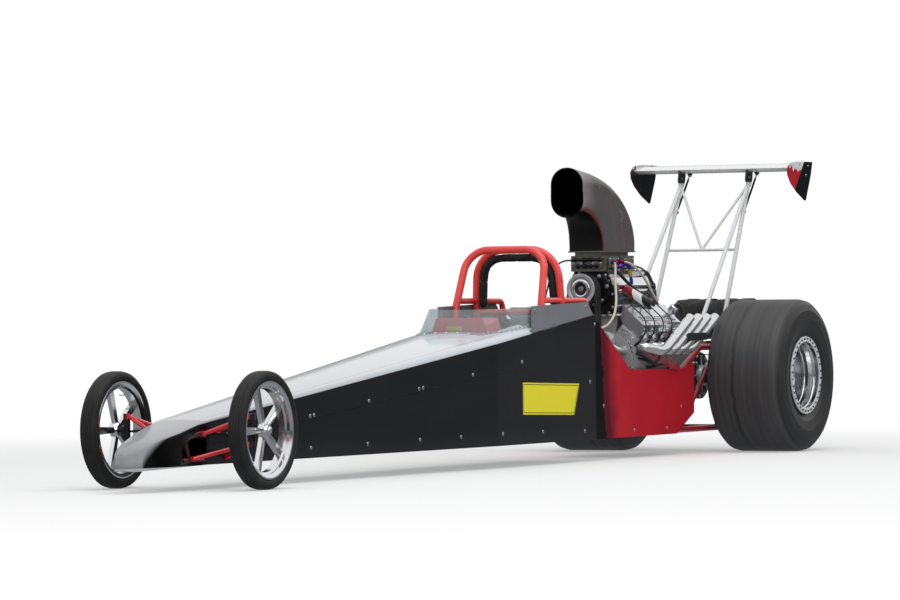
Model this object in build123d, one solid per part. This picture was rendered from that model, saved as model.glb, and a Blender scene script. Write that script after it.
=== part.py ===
from build123d import *
from math import atan, cos, degrees, radians, sin, tan
import os

# Rear-engined drag racing car with a supercharged V8, a high wing and spooled rear slicks.
# Millimetres, +X forward, +Y left, +Z up. Stations (x) are measured forward from the rear axle,
# and the whole car is moved at the end so that its origin is the middle of its footprint.

# Overall
wheelbase = 5794.0
front_overhang = 660.0
rear_overhang = 760.0
front_track = 810.0
rear_track = 1098.0
nose_tip = wheelbase + front_overhang
overall_length = nose_tip + rear_overhang
rear_axle_x = rear_overhang - overall_length / 2

# Fits
seat_gap = 0.3
bearing_gap = 0.5
shut_gap = 0.9

# Body: half width, taper of the front half and the sloping deck edge
body_half = 280.0
nose_half = 136.5
taper_start = 3000.0
deck_ref_x = 1820.0
deck_ref_z = 798.0
deck_nose_z = 320.0
body_bottom = 120.0
panel_wall = 3.0
floor_wall = 2.0
cockpit_front = 2600.0
body_joint = 1800.0
nose_joint = wheelbase + 76.0
side_panel_front = nose_joint - 0.9
body_taper = (body_half - nose_half) / (nose_joint - taper_start)
deck_slope = (deck_ref_z - deck_nose_z) / (nose_joint - deck_ref_x)

# Tubes
rail_d = 35.0
brace_d = 22.0
hoop_d = 41.0
cage_rail_d = 32.0
wing_tube_d = 25.0

# Engine
crank_z = 355.0
engine_front = 1230.0
engine_rear = 650.0
motor_plate = 6.0
bore_spacing = 117.0
header_d = 55.0
header_wall = 2.0
blower_half = 135.0
blower_side = blower_half + 16.0 + seat_gap
blower_front = 1250.0
blower_rear = 705.0
blower_base = 790.0
blower_top = 1040.0
pulley_z = 942.0
pulley_x = blower_front + 62.0

# Wheels
front_tyre_r = 283.0
front_tyre_w = 88.0
front_lip_r = 234.5
front_rim_w = 74.0
rear_tyre_r = 436.0
rear_tyre_w = 475.0
rear_lip_r = 223.5
rear_rim_w = 432.0

# Steering
kingpin_y = front_track / 2 - 60.0
knuckle_low = 232.0
knuckle_high = 334.0
steer_arm = 110.0

# Wing
wing_half = 500.0
wing_front = -415.0
wing_chord = 330.0
wing_z = 1640.0
wing_thick = 43.0
strut_y = 216.0
strut_foot_y = 230.0
end_plate_wall = 4.0

rail_inset = panel_wall + seat_gap + rail_d / 2
bottom_rail_z = body_bottom + floor_wall + seat_gap + rail_d / 2
top_rail_drop = 25.0


def half_width(x):
    return body_half - body_taper * max(0.0, x - taper_start)


def rail_y(x):
    return half_width(x) - rail_inset


def deck_edge(x):
    return deck_ref_z - deck_slope * (x - deck_ref_x)


def top_rail_z(x):
    return deck_edge(x) - top_rail_drop


def bar(start, end, diameter):
    run = Vector(end) - Vector(start)
    foot = Plane(origin=start, z_dir=run)
    align = (Align.CENTER, Align.CENTER, Align.MIN)
    return foot * Cylinder(diameter / 2, run.length, align=align)


def bent_bar(points, diameter, radius):
    path = FilletPolyline(*points, radius=radius)
    profile = Plane(origin=path @ 0, z_dir=path % 0) * Circle(diameter / 2)
    return sweep(profile, path=path)


def box(x0, x1, y0, y1, z0, z1):
    return Pos((x0 + x1) / 2, (y0 + y1) / 2, (z0 + z1) / 2) * Box(x1 - x0, y1 - y0, z1 - z0)


def side_plate(points, y0, y1):
    # a plate with its outline in the XZ plane, between y0 and y1
    outline = Plane(origin=(0, y0, 0), x_dir=(1, 0, 0), z_dir=(0, -1, 0)) * Polygon(*points, align=None)
    return extrude(outline, amount=y1 - y0, dir=(0, 1, 0))


def cross_plate(points, x0, x1):
    # a plate with its outline in the YZ plane, between x0 and x1
    outline = Plane(origin=(x0, 0, 0), x_dir=(0, 1, 0), z_dir=(1, 0, 0)) * Polygon(*points, align=None)
    return extrude(outline, amount=x1 - x0, dir=(1, 0, 0))


def disc(x, y, z, radius, length):
    # a cylinder across the car, from y to y + length
    return Plane(origin=(x, y, z), z_dir=(0, 1, 0)) * Cylinder(
        radius, length, align=(Align.CENTER, Align.CENTER, Align.MIN))


def roller(x, y, z, radius, length):
    # a cylinder along the car, from x to x + length
    return Plane(origin=(x, y, z), z_dir=(1, 0, 0)) * Cylinder(
        radius, length, align=(Align.CENTER, Align.CENTER, Align.MIN))


def right(shape):
    return mirror(shape, about=Plane.XZ)


def both(shapes):
    return list(shapes) + [right(shape) for shape in shapes]


def fused(shapes):
    shapes = list(shapes)
    return shapes[0].fuse(*shapes[1:])


nodes = {}


def keep(name, shapes):
    nodes[name] = shapes if isinstance(shapes, list) else [shapes]


rack_x = wheelbase - steer_arm

# Tube frame, in three lengths: front, cockpit and rear

def side_walls(x0, x1, wall):
    # upright sheets on both sides that follow the body's plan
    stations = [x for x in (x0, taper_start, x1) if x0 <= x <= x1]
    outer = [(x, half_width(x)) for x in stations]
    inner = [(x, half_width(x) - wall) for x in reversed(stations)]
    strip = extrude(Polygon(*(outer + inner), align=None), amount=1200, dir=(0, 0, 1))
    return [strip, right(strip)]


def wall_panels(outline, x0, x1):
    cutter = side_plate(outline, -400, 400)
    return [strip & cutter for strip in side_walls(x0, x1, panel_wall)]


frame_front_end = wheelbase + 266.0
top_rail_end_z = 250.0


def front_top_z(x):
    share = (x - taper_start) / (frame_front_end - taper_start)
    return top_rail_z(taper_start) + share * (top_rail_end_z - top_rail_z(taper_start))


def frame_front():
    tubes = []
    low = [(x, rail_y(x), bottom_rail_z) for x in (taper_start, frame_front_end)]
    high = [(x, rail_y(x), front_top_z(x)) for x in (taper_start, frame_front_end)]
    tubes += both([bar(low[0], low[1], rail_d), bar(high[0], high[1], rail_d)])
    bay = (wheelbase - 214.0 - 3700.0) / 2.5
    stations = (3700.0, 3700.0 + bay, 3700.0 + 2 * bay, wheelbase - 214.0)
    for x in stations:
        y = rail_y(x)
        tubes += both([bar((x, y, bottom_rail_z), (x, y, front_top_z(x)), brace_d)])
        tubes.append(bar((x, -y, bottom_rail_z), (x, y, bottom_rail_z), brace_d))
        tubes.append(bar((x, -y, front_top_z(x)), (x, y, front_top_z(x)), brace_d))
    for rear, front in zip(stations, stations[1:]):
        foot = (rear, rail_y(rear), bottom_rail_z)
        head = (front, rail_y(front), front_top_z(front))
        tubes += both([bar(foot, head, brace_d)])
    x = frame_front_end - rail_d / 2
    foot = (x - 60, rail_y(x - 60), bottom_rail_z)
    tubes += both([bar(foot, (x, rail_y(x), front_top_z(x)), brace_d)])
    tubes.append(bar((x, -rail_y(x), bottom_rail_z), (x, rail_y(x), bottom_rail_z), brace_d))
    tubes.append(bar((x, -rail_y(x), front_top_z(x)), (x, rail_y(x), front_top_z(x)), brace_d))
    x = wheelbase - 64.0
    foot = (x, rail_y(x), bottom_rail_z)
    x -= 110.0
    tubes += both([bar(foot, (x, rail_y(x), front_top_z(x)), brace_d)])
    x = rack_x
    tubes.append(bar((x, -rail_y(x), front_top_z(x)), (x, rail_y(x), front_top_z(x)), brace_d))
    return fused(tubes) - box(taper_start - 100, taper_start, -400, 400, 0, 1000)


frame_rear_end = -110.0
hoop_foot = 2430.0
column_bar_x = 2800.0
column_tilt = 20.0
column_bar_z = top_rail_z(column_bar_x)
column_run = 200.0
wheel_hub = Vector(column_bar_x - column_run, 0, column_bar_z + column_run * tan(radians(column_tilt)))
column_axis = Vector(cos(radians(column_tilt)), 0, -sin(radians(column_tilt)))
column_d = 25.0
bay_low_z = 468.0
bay_front = 1330.0
bay_rear = 640.0
kick_x = 350.0
rear_top_z = 603.0
strut_rear_x = -8.0
strut_tube_d = 33.0
tray_y = 110.0
tray_rear = -560.0
tray_z = 620.0


def frame_cockpit():
    y = rail_y(body_joint)
    tubes = both([bar((deck_ref_x, y, bottom_rail_z), (taper_start, y, bottom_rail_z), rail_d),
                  bar((deck_ref_x, y, top_rail_z(deck_ref_x)),
                      (taper_start, y, top_rail_z(taper_start)), rail_d)])
    rear = deck_ref_x + rail_d / 2
    front = taper_start - rail_d / 2
    for x in (rear, hoop_foot, front):
        tubes += both([bar((x, y, bottom_rail_z), (x, y, top_rail_z(x)), brace_d)])
        tubes.append(bar((x, -y, bottom_rail_z), (x, y, bottom_rail_z), brace_d))
    tubes.append(bar((front, -y, top_rail_z(front)), (front, y, top_rail_z(front)), brace_d))
    tubes.append(bar((column_bar_x, -y, column_bar_z), (column_bar_x, y, column_bar_z), brace_d))
    tubes += both([bar((rear, y, top_rail_z(rear)), (hoop_foot, y, bottom_rail_z), brace_d),
                   bar((hoop_foot, y, bottom_rail_z), (front, y, top_rail_z(front)), brace_d)])
    column_start = wheel_hub + column_axis * 12
    tubes.append(bar(column_start, (column_bar_x, 0, column_bar_z), column_d))
    return fused(tubes) & box(deck_ref_x, taper_start, -400, 400, 0, 1000)


def frame_rear():
    y = rail_y(body_joint)
    route = [(deck_ref_x, y, top_rail_z(deck_ref_x)), (bay_front, y, bay_low_z), (bay_rear, y, bay_low_z),
             (kick_x, y, rear_top_z), (frame_rear_end, y, rear_top_z)]
    tubes = both([bar((deck_ref_x, y, bottom_rail_z), (frame_rear_end, y, bottom_rail_z), rail_d),
                  bent_bar(route, rail_d, 120)])
    for x, top, diameter in ((bay_front, bay_low_z, brace_d), (bay_rear, bay_low_z, brace_d),
                             (110.0, rear_top_z, rail_d), (frame_rear_end, rear_top_z, rail_d)):
        tubes += both([bar((x, y, bottom_rail_z), (x, y, top), diameter)])
    for x in (bay_rear, frame_rear_end):
        tubes.append(bar((x, -y, bottom_rail_z), (x, y, bottom_rail_z), brace_d))
    for x, diameter in ((kick_x, strut_tube_d), (strut_rear_x, strut_tube_d), (frame_rear_end, rail_d)):
        tubes.append(bar((x, -y, rear_top_z), (x, y, rear_top_z), diameter))
    tubes += both([bar((bay_rear, y, bottom_rail_z), (110.0, y, rear_top_z), brace_d),
                   bar((deck_ref_x, y, bottom_rail_z), (bay_front, y, bay_low_z), brace_d),
                   bar((frame_rear_end, tray_y, rear_top_z), (tray_rear, tray_y, tray_z), brace_d)])
    tubes.append(bar((tray_rear, -tray_y - 60, tray_z), (tray_rear, tray_y + 60, tray_z), brace_d))
    return fused(tubes) - box(deck_ref_x, deck_ref_x + 100, -400, 400, 0, 1000)


keep("frame_front", frame_front())
keep("frame_cockpit", frame_cockpit())
keep("frame_rear", frame_rear())


# Rear tie-down plates on the frame's end and front ones on the bottom rails, each with one upright hole
tie_hole_r = 11.0
tie_plate = 8.0
tie_rear_x = frame_rear_end - 50.0
tie_front_x = wheelbase - 168.0


def tie_down_tabs():
    y = rail_y(body_joint)
    end = frame_rear_end - rail_d / 2 - seat_gap
    low = bottom_rail_z - tie_plate / 2
    lug = box(tie_rear_x, end, y - 25, y + 25, low, low + tie_plate)
    lug += Pos(tie_rear_x, y, bottom_rail_z) * Cylinder(25, tie_plate)
    lug -= Pos(tie_rear_x, y, bottom_rail_z) * Cylinder(tie_hole_r, 2 * tie_plate)
    x = tie_front_x
    inner = rail_y(x - 20) + rail_d / 2 + seat_gap
    tab = box(x - 20, x + 20, inner, inner + 50, bottom_rail_z - tie_plate / 2,
              bottom_rail_z + tie_plate / 2)
    tab -= Pos(x, inner + 28, bottom_rail_z) * Cylinder(tie_hole_r, 3 * tie_plate)
    return both([lug, tab])


keep("tie_down_tabs", tie_down_tabs())


# Body panels

rack_r = 24.0
rack_z = front_top_z(rack_x) - brace_d / 2 - rack_r - seat_gap
# wishbone legs: station and height of the foot on the frame
lower_feet = [(wheelbase + 196.0, bottom_rail_z + 12), (wheelbase - 104.0, bottom_rail_z + 12)]
upper_feet = [(wheelbase + 106.0, 268.0), (wheelbase - 24.0, 280.0)]
seam = [(side_panel_front, 210.0), (wheelbase - 644.0, 285.0), (3790.0, 426.0), (2590.0, 541.0)]
seam_top_x = 2560.0


def body_side_panels():
    top = [(seam_top_x - shut_gap, deck_edge(seam_top_x) - shut_gap),
           (body_joint + shut_gap, deck_edge(body_joint) - shut_gap)]
    lower = [(body_joint + shut_gap, body_bottom), (side_panel_front, body_bottom)]
    lower += [(x, z - shut_gap / 2) for x, z in seam] + top
    upper = [(x, z + shut_gap / 2) for x, z in reversed(seam)]
    upper += [(side_panel_front, deck_edge(side_panel_front) - shut_gap),
              (seam_top_x, deck_edge(seam_top_x) - shut_gap)]
    holes = [box(x - 16, x + 16, -400, 400, z - 16, z + 16) for x, z in lower_feet + upper_feet]
    holes.append(box(tie_front_x - 23, tie_front_x + 23, -400, 400, bottom_rail_z - 8, bottom_rail_z + 8))
    holes.append(disc(rack_x, -400, rack_z, 15, 800))
    cut = fused(holes)
    keep("lower_side_panels", [panel - cut for panel in wall_panels(lower, body_joint, side_panel_front)])
    keep("upper_side_panels", [panel - cut for panel in wall_panels(upper, 2500.0, side_panel_front)])


body_side_panels()

# outline of the red engine-bay side panels: station, height
rear_panel = [(730.0, body_bottom), (body_joint, body_bottom), (body_joint, 765.0), (1760.0, 755.0),
              (1345.0, 490.0), (640.0, 488.0), (480.0, 515.0), (485.0, 234.0)]
keep("rear_side_panels", wall_panels(rear_panel, 400.0, body_joint))

cowl_top_front = 853.0
cowl_top_rear = 871.0
cowl = [(deck_ref_x + 3, deck_edge(deck_ref_x + 3)), (cockpit_front - shut_gap, deck_edge(cockpit_front)),
        (cockpit_front - shut_gap, cowl_top_front), (1900.0, cowl_top_rear)]
keep("cowl_panels", wall_panels(cowl, body_joint, cockpit_front))


def floor_pan():
    stations = (deck_ref_x, taper_start, nose_joint - shut_gap)
    edge = [(x, half_width(x) - panel_wall - seat_gap) for x in stations]
    outline = edge + [(x, -y) for x, y in reversed(edge)]
    return Pos(0, 0, body_bottom) * extrude(Polygon(*outline, align=None), amount=floor_wall, dir=(0, 0, 1))


keep("floor_pan", floor_pan())


def hood_section(x, half, low, edge, shoulder, crown):
    # flat sides, round shoulders and a crowned top, closed by a straight line below
    path = Polyline((half, edge), (half, low), (-half, low), (-half, edge))
    left = RadiusArc((half - shoulder, edge + shoulder), (half, edge), shoulder)
    rite = RadiusArc((-half, edge), (-half + shoulder, edge + shoulder), shoulder)
    top = ThreePointArc((-half + shoulder, edge + shoulder), (0, edge + shoulder + crown),
                        (half - shoulder, edge + shoulder))
    face = make_face([path, left, rite, top])
    return Plane(origin=(x, 0, 0), x_dir=(0, 1, 0), z_dir=(1, 0, 0)) * face


deck_shoulder = 40.0
deck_crown = 25.0
nose_shoulder = 9.0
nose_crown = 5.0


def deck_form(x, x_low, inset):
    # shoulder and crown of the deck at a station, drawn in by inset
    share = (x - cockpit_front) / (nose_joint - cockpit_front)
    shoulder = deck_shoulder + share * (nose_shoulder - deck_shoulder)
    crown = deck_crown + share * (nose_crown - deck_crown)
    low = deck_edge(x) - x_low
    return hood_section(x, half_width(x) - inset, low, deck_edge(x), shoulder - inset, crown)


def deck_solid(x0, x1, depth, inset):
    stations = [x0, taper_start, x1] if x0 < taper_start < x1 else [x0, x1]
    return loft([deck_form(x, depth, inset) for x in stations], ruled=True)


cockpit_opening_front = 2960.0
cockpit_opening_half = 195.0


def deck_panel():
    shell = deck_solid(cockpit_front, nose_joint - shut_gap, 0.01, 0)
    shell -= deck_solid(cockpit_front - 5, nose_joint + 5, 8, panel_wall)
    hole = box(cockpit_front - 50, cockpit_opening_front, -cockpit_opening_half, cockpit_opening_half,
               500, 1000)
    return shell - fillet(hole.edges().filter_by(Axis.Z).group_by(Axis.X)[-1], 60)


keep("deck_panel", deck_panel())

# nose sections: station, half width, bottom, edge height, shoulder, crown
nose_table = [
    (nose_joint, half_width(nose_joint), body_bottom, deck_edge(nose_joint), nose_shoulder, nose_crown),
    (nose_tip - 354.0, 125.5, 115.0, 262.0, 18.0, 5.0),
    (nose_tip - 154.0, 88.0, 108.0, 214.0, 22.0, 5.0),
    (nose_tip - 64.0, 60.0, 104.0, 190.0, 22.0, 4.0),
    (nose_tip - 24.0, 42.0, 106.0, 177.0, 20.0, 3.0),
    (nose_tip - 6.0, 30.0, 112.0, 168.0, 16.0, 3.0),
    (nose_tip, 20.0, 122.0, 158.0, 12.0, 2.0),
]


def nose_cone():
    outer = loft([hood_section(*row) for row in nose_table], ruled=True)
    inner_rows = []
    for x, half, low, edge, shoulder, crown in nose_table:
        x = min(x, nose_tip - 4 * panel_wall)
        if inner_rows and x <= inner_rows[-1][0]:
            continue
        inner_rows.append((x, half - panel_wall, low + floor_wall, edge, shoulder - panel_wall, crown))
    shell = outer - loft([hood_section(*row) for row in inner_rows], ruled=True)
    # the suspension's opening in each side, with a lip left along the bottom and under the top
    front = nose_tip - 380.0
    opening = [(nose_joint - 50, 136.0), (front, 136.0), (front + 14, 160.0), (front + 6, 200.0),
               (front - 60, 246.0), (front - 140, 290.0), (nose_joint - 50, 300.0)]
    return shell - side_plate(opening, -200, 200)


keep("nose_cone", nose_cone())

screen_rear = 2575.0
screen_front = 3090.0
screen_top_front = 2936.0
screen_top_z = 848.0
screen_top_slope = 0.028
# half widths of the screen at its base and top: station, base, top
screen_halves = [(2520.0, 277.0, 268.0), (2800.0, 256.0, 232.0)]
screen_front_half = 188.0
screen_top_half = 160.0
screen_wall = 3.0


def windshield():
    # an outline on the sloping deck's edge line and a smaller, nearly level one above it
    base = Plane(origin=(0, 0, deck_edge(0) + 4), x_dir=(1, 0, -deck_slope), z_dir=(deck_slope, 0, 1))
    top_z = screen_top_z + screen_top_slope * screen_rear
    top = Plane(origin=(0, 0, top_z), x_dir=(1, 0, -screen_top_slope), z_dir=(screen_top_slope, 0, 1))

    def outline(plane, front, front_half, column, inset):
        half = [(row[0], row[column] - inset) for row in screen_halves] + [(front - inset,
                                                                            front_half - inset)]
        points = half + [(x, -y) for x, y in reversed(half)]
        face = Polygon(*points, align=None)
        corners = face.vertices().group_by(Axis.X)[-1]
        return plane * fillet(corners, 55 - inset)

    def form(inset):
        low = outline(base, screen_front, screen_front_half, 1, inset)
        high = outline(top, screen_top_front, screen_top_half, 2, inset)
        return loft([low, high], ruled=True)

    shell = form(0) - form(screen_wall)
    shell -= box(screen_rear - 200, screen_rear + 4, -400, 400, 400, 1200)
    shell -= deck_solid(cockpit_front - 100, nose_joint, 60, -seat_gap)
    return shell


keep("windshield", windshield())




# Roll cage over the driver

def below_top_rails():
    # everything under the plane on which the cage's feet stand
    plane = Plane(origin=(0, 0, top_rail_z(0) + rail_d / 2 + seat_gap), x_dir=(1, 0, -deck_slope),
                  z_dir=(deck_slope, 0, 1))
    return plane * Pos(0, 0, -500) * Box(12000, 1200, 1000)


cage_y = 255.0
cage_top = 1158.0
# each hoop: foot, end of the upright leg, top corner; then the top corner's bend
front_hoop = [(2452.0, cage_y, 690.0), (2425.0, cage_y, 860.0), (2318.0, 232.0, cage_top)]
rear_hoop = [(2180.0, cage_y, 690.0), (2180.0, cage_y, 890.0), (2196.0, 238.0, cage_top)]
front_bend = 130.0
rear_bend = 165.0
leg_bend = 110.0
cage_rail_z = 884.0
pad_d = 44.0


def hoop(points, bend, diameter, legs):
    route = points + [(x, -y, z) for x, y, z in reversed(points)]
    return bent_bar(route, diameter, [legs, bend, bend, legs])


def roll_cage():
    pieces = [hoop(front_hoop, front_bend, hoop_d, leg_bend), hoop(rear_hoop, rear_bend, hoop_d, leg_bend)]
    rail = [(2420.0, cage_y, cage_rail_z), (1870.0, cage_y, cage_rail_z - 4), (1838.0, cage_y, 760.0)]
    pieces += both([bent_bar(rail, cage_rail_d, 40),
                    bar((2312.0, 85, cage_top), (2196.0, 85, cage_top), cage_rail_d)])
    pieces.append(bar((2180.0, -cage_y, 820.0), (2180.0, cage_y, 820.0), cage_rail_d))
    return fused(pieces) - below_top_rails()


keep("roll_cage", roll_cage())


def cage_padding():
    # foam along the inside of the rear hoop: its line moved in by one hoop and one foam radius
    inward = hoop_d / 2 + seat_gap + pad_d / 2
    x0, y0, z0 = rear_hoop[1]
    x1, y1, z1 = rear_hoop[2]
    lean = atan((y0 - y1) / (z1 - z0))
    bend = (x0, y0 - inward, z0 - inward * tan(lean / 2))
    corner = (x1 - (x1 - x0) * inward / (z1 - z0), y1 + inward * (tan(lean) - 1 / cos(lean)), z1 - inward)
    points = [(x0, y0 - inward, z0 - 45.0), bend, corner]
    return hoop(points, rear_bend - inward, pad_d, leg_bend - inward)


keep("cage_padding", cage_padding())

# Seat: a sheet bucket with side wings, and its cushions
seat_half = 200.0
seat_floor = 162.0
seat_line = [(2560.0, 215.0), (2300.0, seat_floor), (2190.0, 175.0), (1935.0, 780.0)]


def seat_shell():
    skin = []
    for start, end in zip(seat_line, seat_line[1:]):
        run = Vector(end[0] - start[0], end[1] - start[1])
        normal = Vector(-run.Y, run.X).normalized() * -panel_wall
        a, b = start, end
        skin.append(side_plate([a, b, (b[0] + normal.X, b[1] + normal.Y),
                                (a[0] + normal.X, a[1] + normal.Y)],
                               -seat_half, seat_half))
    wing = seat_line + [(2040.0, 800.0), (2230.0, 430.0), (2540.0, 330.0)]
    sides = [side_plate(wing, seat_half - panel_wall, seat_half),
             side_plate(wing, -seat_half, -seat_half + panel_wall)]
    tube_top = bottom_rail_z + brace_d / 2 + seat_gap
    legs = both([box(hoop_foot - 8, hoop_foot + 2, 110, 130, tube_top, 186.4)])
    return fused(skin + sides + legs)


keep("seat", seat_shell())


def seat_cushions():
    inner = seat_half - panel_wall - seat_gap
    base = side_plate([(2540.0, 214.4), (2300.0, 165.6), (2215.0, 175.5), (2215.0, 206.0),
                       (2540.0, 246.0)], -inner, inner)
    back = side_plate([(2174.0, 222.0), (1949.0, 756.0), (1983.0, 771.0), (2208.0, 237.0)], -inner, inner)
    return [base, back]


keep("seat_cushions", seat_cushions())


def firewall():
    y = rail_y(body_joint) - rail_d / 2 - seat_gap
    x = deck_ref_x + rail_d / 2 + brace_d / 2 + seat_gap
    low = body_bottom + floor_wall + seat_gap
    sheet = box(x, x + 2, -y, y, low, 845.0)
    return sheet - both([box(x - 5, x + 5, y - 30, y + 50, 700, 900)])


keep("firewall", firewall())

# Steering: a butterfly wheel on a tilted column, a rack with sliding tie rods, two knuckles

def dash_panel():
    # sloping sheet under the opening in the deck, turned down at its rear edge
    z0 = deck_edge(2700.0) + 16
    z1 = deck_edge(cockpit_opening_front - 8) + 16
    top = [(2700.0, z0), (cockpit_opening_front - 8, z1), (cockpit_opening_front - 8, z1 + 2),
           (2698.0, z0 + 2),
           (2698.0, z0 - 95), (2700.0, z0 - 95)]
    sheet = side_plate(top, -190, 190) - bar(wheel_hub, wheel_hub + column_axis * 150,
                                             column_d + 2 * seat_gap)
    pod = box(2700 + seat_gap, 2740, 60, 150, z0 - 85, z0 - 20)
    # a raised hood under the screen, open toward the driver
    hood_z = screen_top_z - 54.0
    outer = [(-165, z0 - 40), (165, z0 - 40), (165, z0 + 4), (138, hood_z), (-138, hood_z), (-165, z0 + 4)]
    inner = [(-162, z0 - 50), (162, z0 - 50), (162, z0 + 3), (136, hood_z - 3), (-136, hood_z - 3),
             (-162, z0 + 3)]
    hood = cross_plate(outer, 2720, 2900) - cross_plate(inner, 2700, 2897)
    lift = 2 + seat_gap
    hood -= side_plate([(2690, z0 + lift), (2960, z1 + lift), (2960, z0 - 100), (2690, z0 - 100)], -200, 200)
    return [sheet, pod, hood]


keep("dash_panel", dash_panel())


def steering_wheel():
    face = Plane(origin=wheel_hub, x_dir=(0, 1, 0), z_dir=column_axis)
    hub = face * Pos(0, 0, -18) * Cylinder(30, 30 - bearing_gap,
                                           align=(Align.CENTER, Align.CENTER, Align.MIN))
    spoke = face * Pos(0, 0, -12) * Box(190, 26, 8)
    grips = []
    for side in (-1, 1):
        route = [(side * 92.0, 70.0, -12.0), (side * 122.0, 20.0, -12.0), (side * 122.0, -45.0, -12.0),
                 (side * 92.0, -78.0, -12.0)]
        grips.append(bent_bar([tuple((face * Pos(*p)).position) for p in route], 26, 40))
        grips.append(face * Pos(side * 105, 0, -12) * Box(50, 22, 8))
    return fused([hub, spoke] + grips)


keep("steering_wheel", steering_wheel())

rack_half = 95.0
rack_shaft_r = 8.0
tie_rod_d = 14.0
rod_end_r = 14.0
rod_end_z = rack_z


def steering_rack():
    housing = disc(rack_x, -rack_half, rack_z, rack_r, 2 * rack_half)
    return housing - disc(rack_x, -2 * rack_half, rack_z, rack_shaft_r + seat_gap, 4 * rack_half)


def tie_rods():
    shaft = disc(rack_x, -rack_half - 60, rack_z, rack_shaft_r, 2 * rack_half + 120)
    rods = both([disc(rack_x, rack_half + 40, rack_z, tie_rod_d / 2, kingpin_y - 12 - rack_half - 40)])
    ends = both([Pos(rack_x, kingpin_y - 8, rack_z) * Cylinder(rod_end_r, 16)])
    return fused([shaft] + rods + ends)


keep("steering_rack", steering_rack())
keep("tie_rods", tie_rods())

arm_boss_r = 17.0
arm_boss_h = 27.0
arm_tube_d = 20.0
lug_half = 12.0


def wishbones():
    pieces = []
    low_z = knuckle_low - bearing_gap - arm_boss_h / 2
    high_z = knuckle_high + bearing_gap + arm_boss_h / 2
    for feet, z in ((lower_feet, low_z), (upper_feet, high_z)):
        arm = [Pos(wheelbase, kingpin_y, z) * Cylinder(arm_boss_r, arm_boss_h)]
        for x, foot_z in feet:
            seat = rail_y(x - lug_half) + rail_d / 2 + seat_gap
            arm.append(bar((x, seat + 6, foot_z), (wheelbase, kingpin_y - arm_boss_r + 5, z), arm_tube_d))
            lug = box(x - lug_half, x + lug_half, seat, seat + 12, foot_z - lug_half, foot_z + lug_half)
            arm.append(lug)
        pieces.append(fused(arm))
    return both(pieces)


keep("wishbones", wishbones())

spindle_r = 12.0
upright_r = 17.0


def knuckle():
    z = front_tyre_r
    tall = knuckle_high - knuckle_low
    upright = Pos(wheelbase, kingpin_y, knuckle_low + tall / 2) * Cylinder(upright_r, tall)
    shoulder = disc(wheelbase, kingpin_y, z, 24, 24)
    pin = disc(wheelbase, kingpin_y, z, spindle_r, 62)
    arm_z = rod_end_z + 8 + seat_gap
    arm = box(rack_x, wheelbase, kingpin_y - 18, kingpin_y, arm_z, arm_z + 10)
    eye = Pos(rack_x, kingpin_y - 8, arm_z + 5) * Cylinder(14, 10)
    return fused([upright, shoulder, pin, arm, eye])


keep("knuckle_left", knuckle())
keep("knuckle_right", right(knuckle()))


# Wheels: profiles are (distance outboard of the wheel's centre, radius)

def turned(points, y):
    # revolve a profile about the wheel's axis, which runs across the car through (0, y, 0)
    face = Plane(origin=(0, y, 0), x_dir=(0, 1, 0), z_dir=(-1, 0, 0)) * Polygon(*points, align=None)
    return revolve(face, Axis((0, 0, 0), (0, 1, 0)))


def front_rim():
    half = front_rim_w / 2
    lip = front_lip_r
    seat = lip - 18
    barrel = [(-half, lip), (-half + 5, lip), (-half + 6, seat), (half - 6, seat), (half - 5, lip),
              (half, lip),
              (half, lip - 8), (half - 8, seat - 6), (half - 24, seat - 6), (half - 30,
                                                                             seat - 16), (-half + 10,
                                                                                          seat - 16),
              (-half + 4, seat - 6), (-half, lip - 8)]
    hub = [(-22.0, spindle_r + seat_gap), (-22.0, 30.0), (-8.0, 40.0), (14.0, 40.0), (20.0, 28.0),
           (30.0, 22.0),
           (30.0, 0.0), (22.0, 0.0), (22.0, spindle_r + seat_gap)]
    pieces = [turned(barrel, 0), turned(hub, 0)]
    for index in range(5):
        # each spoke is a tapered channel, open toward the outside
        web = side_plate([(-13, 30), (13, 30), (20, seat - 10), (-20, seat - 10)], -12, -6)
        wall_a = side_plate([(-13, 30), (-9, 30), (-16, seat - 10), (-20, seat - 10)], -12, 10)
        wall_b = side_plate([(9, 30), (13, 30), (20, seat - 10), (16, seat - 10)], -12, 10)
        spoke = fused([web, wall_a, wall_b])
        pieces.append(Rot(0, 90 + 72 * index, 0) * spoke)
    return fused(pieces)


def front_tyre():
    half = front_tyre_w / 2
    bead = front_rim_w / 2 - 6 - seat_gap
    low = front_lip_r - 18 + seat_gap
    points = [(-bead, low), (bead, low), (bead, front_lip_r + 1), (half - 3, front_lip_r + 12),
              (half, front_lip_r + 24),
              (half - 3, front_tyre_r - 12), (half - 12, front_tyre_r - 3), (half - 26, front_tyre_r),
              (26 - half, front_tyre_r), (12 - half, front_tyre_r - 3), (3 - half, front_tyre_r - 12),
              (-half, front_lip_r + 24), (3 - half, front_lip_r + 12), (-bead, front_lip_r + 1)]
    return turned(points, 0)


hub_reach = 50.0
hub_r = 50.0
rotor_r = 150.0


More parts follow.
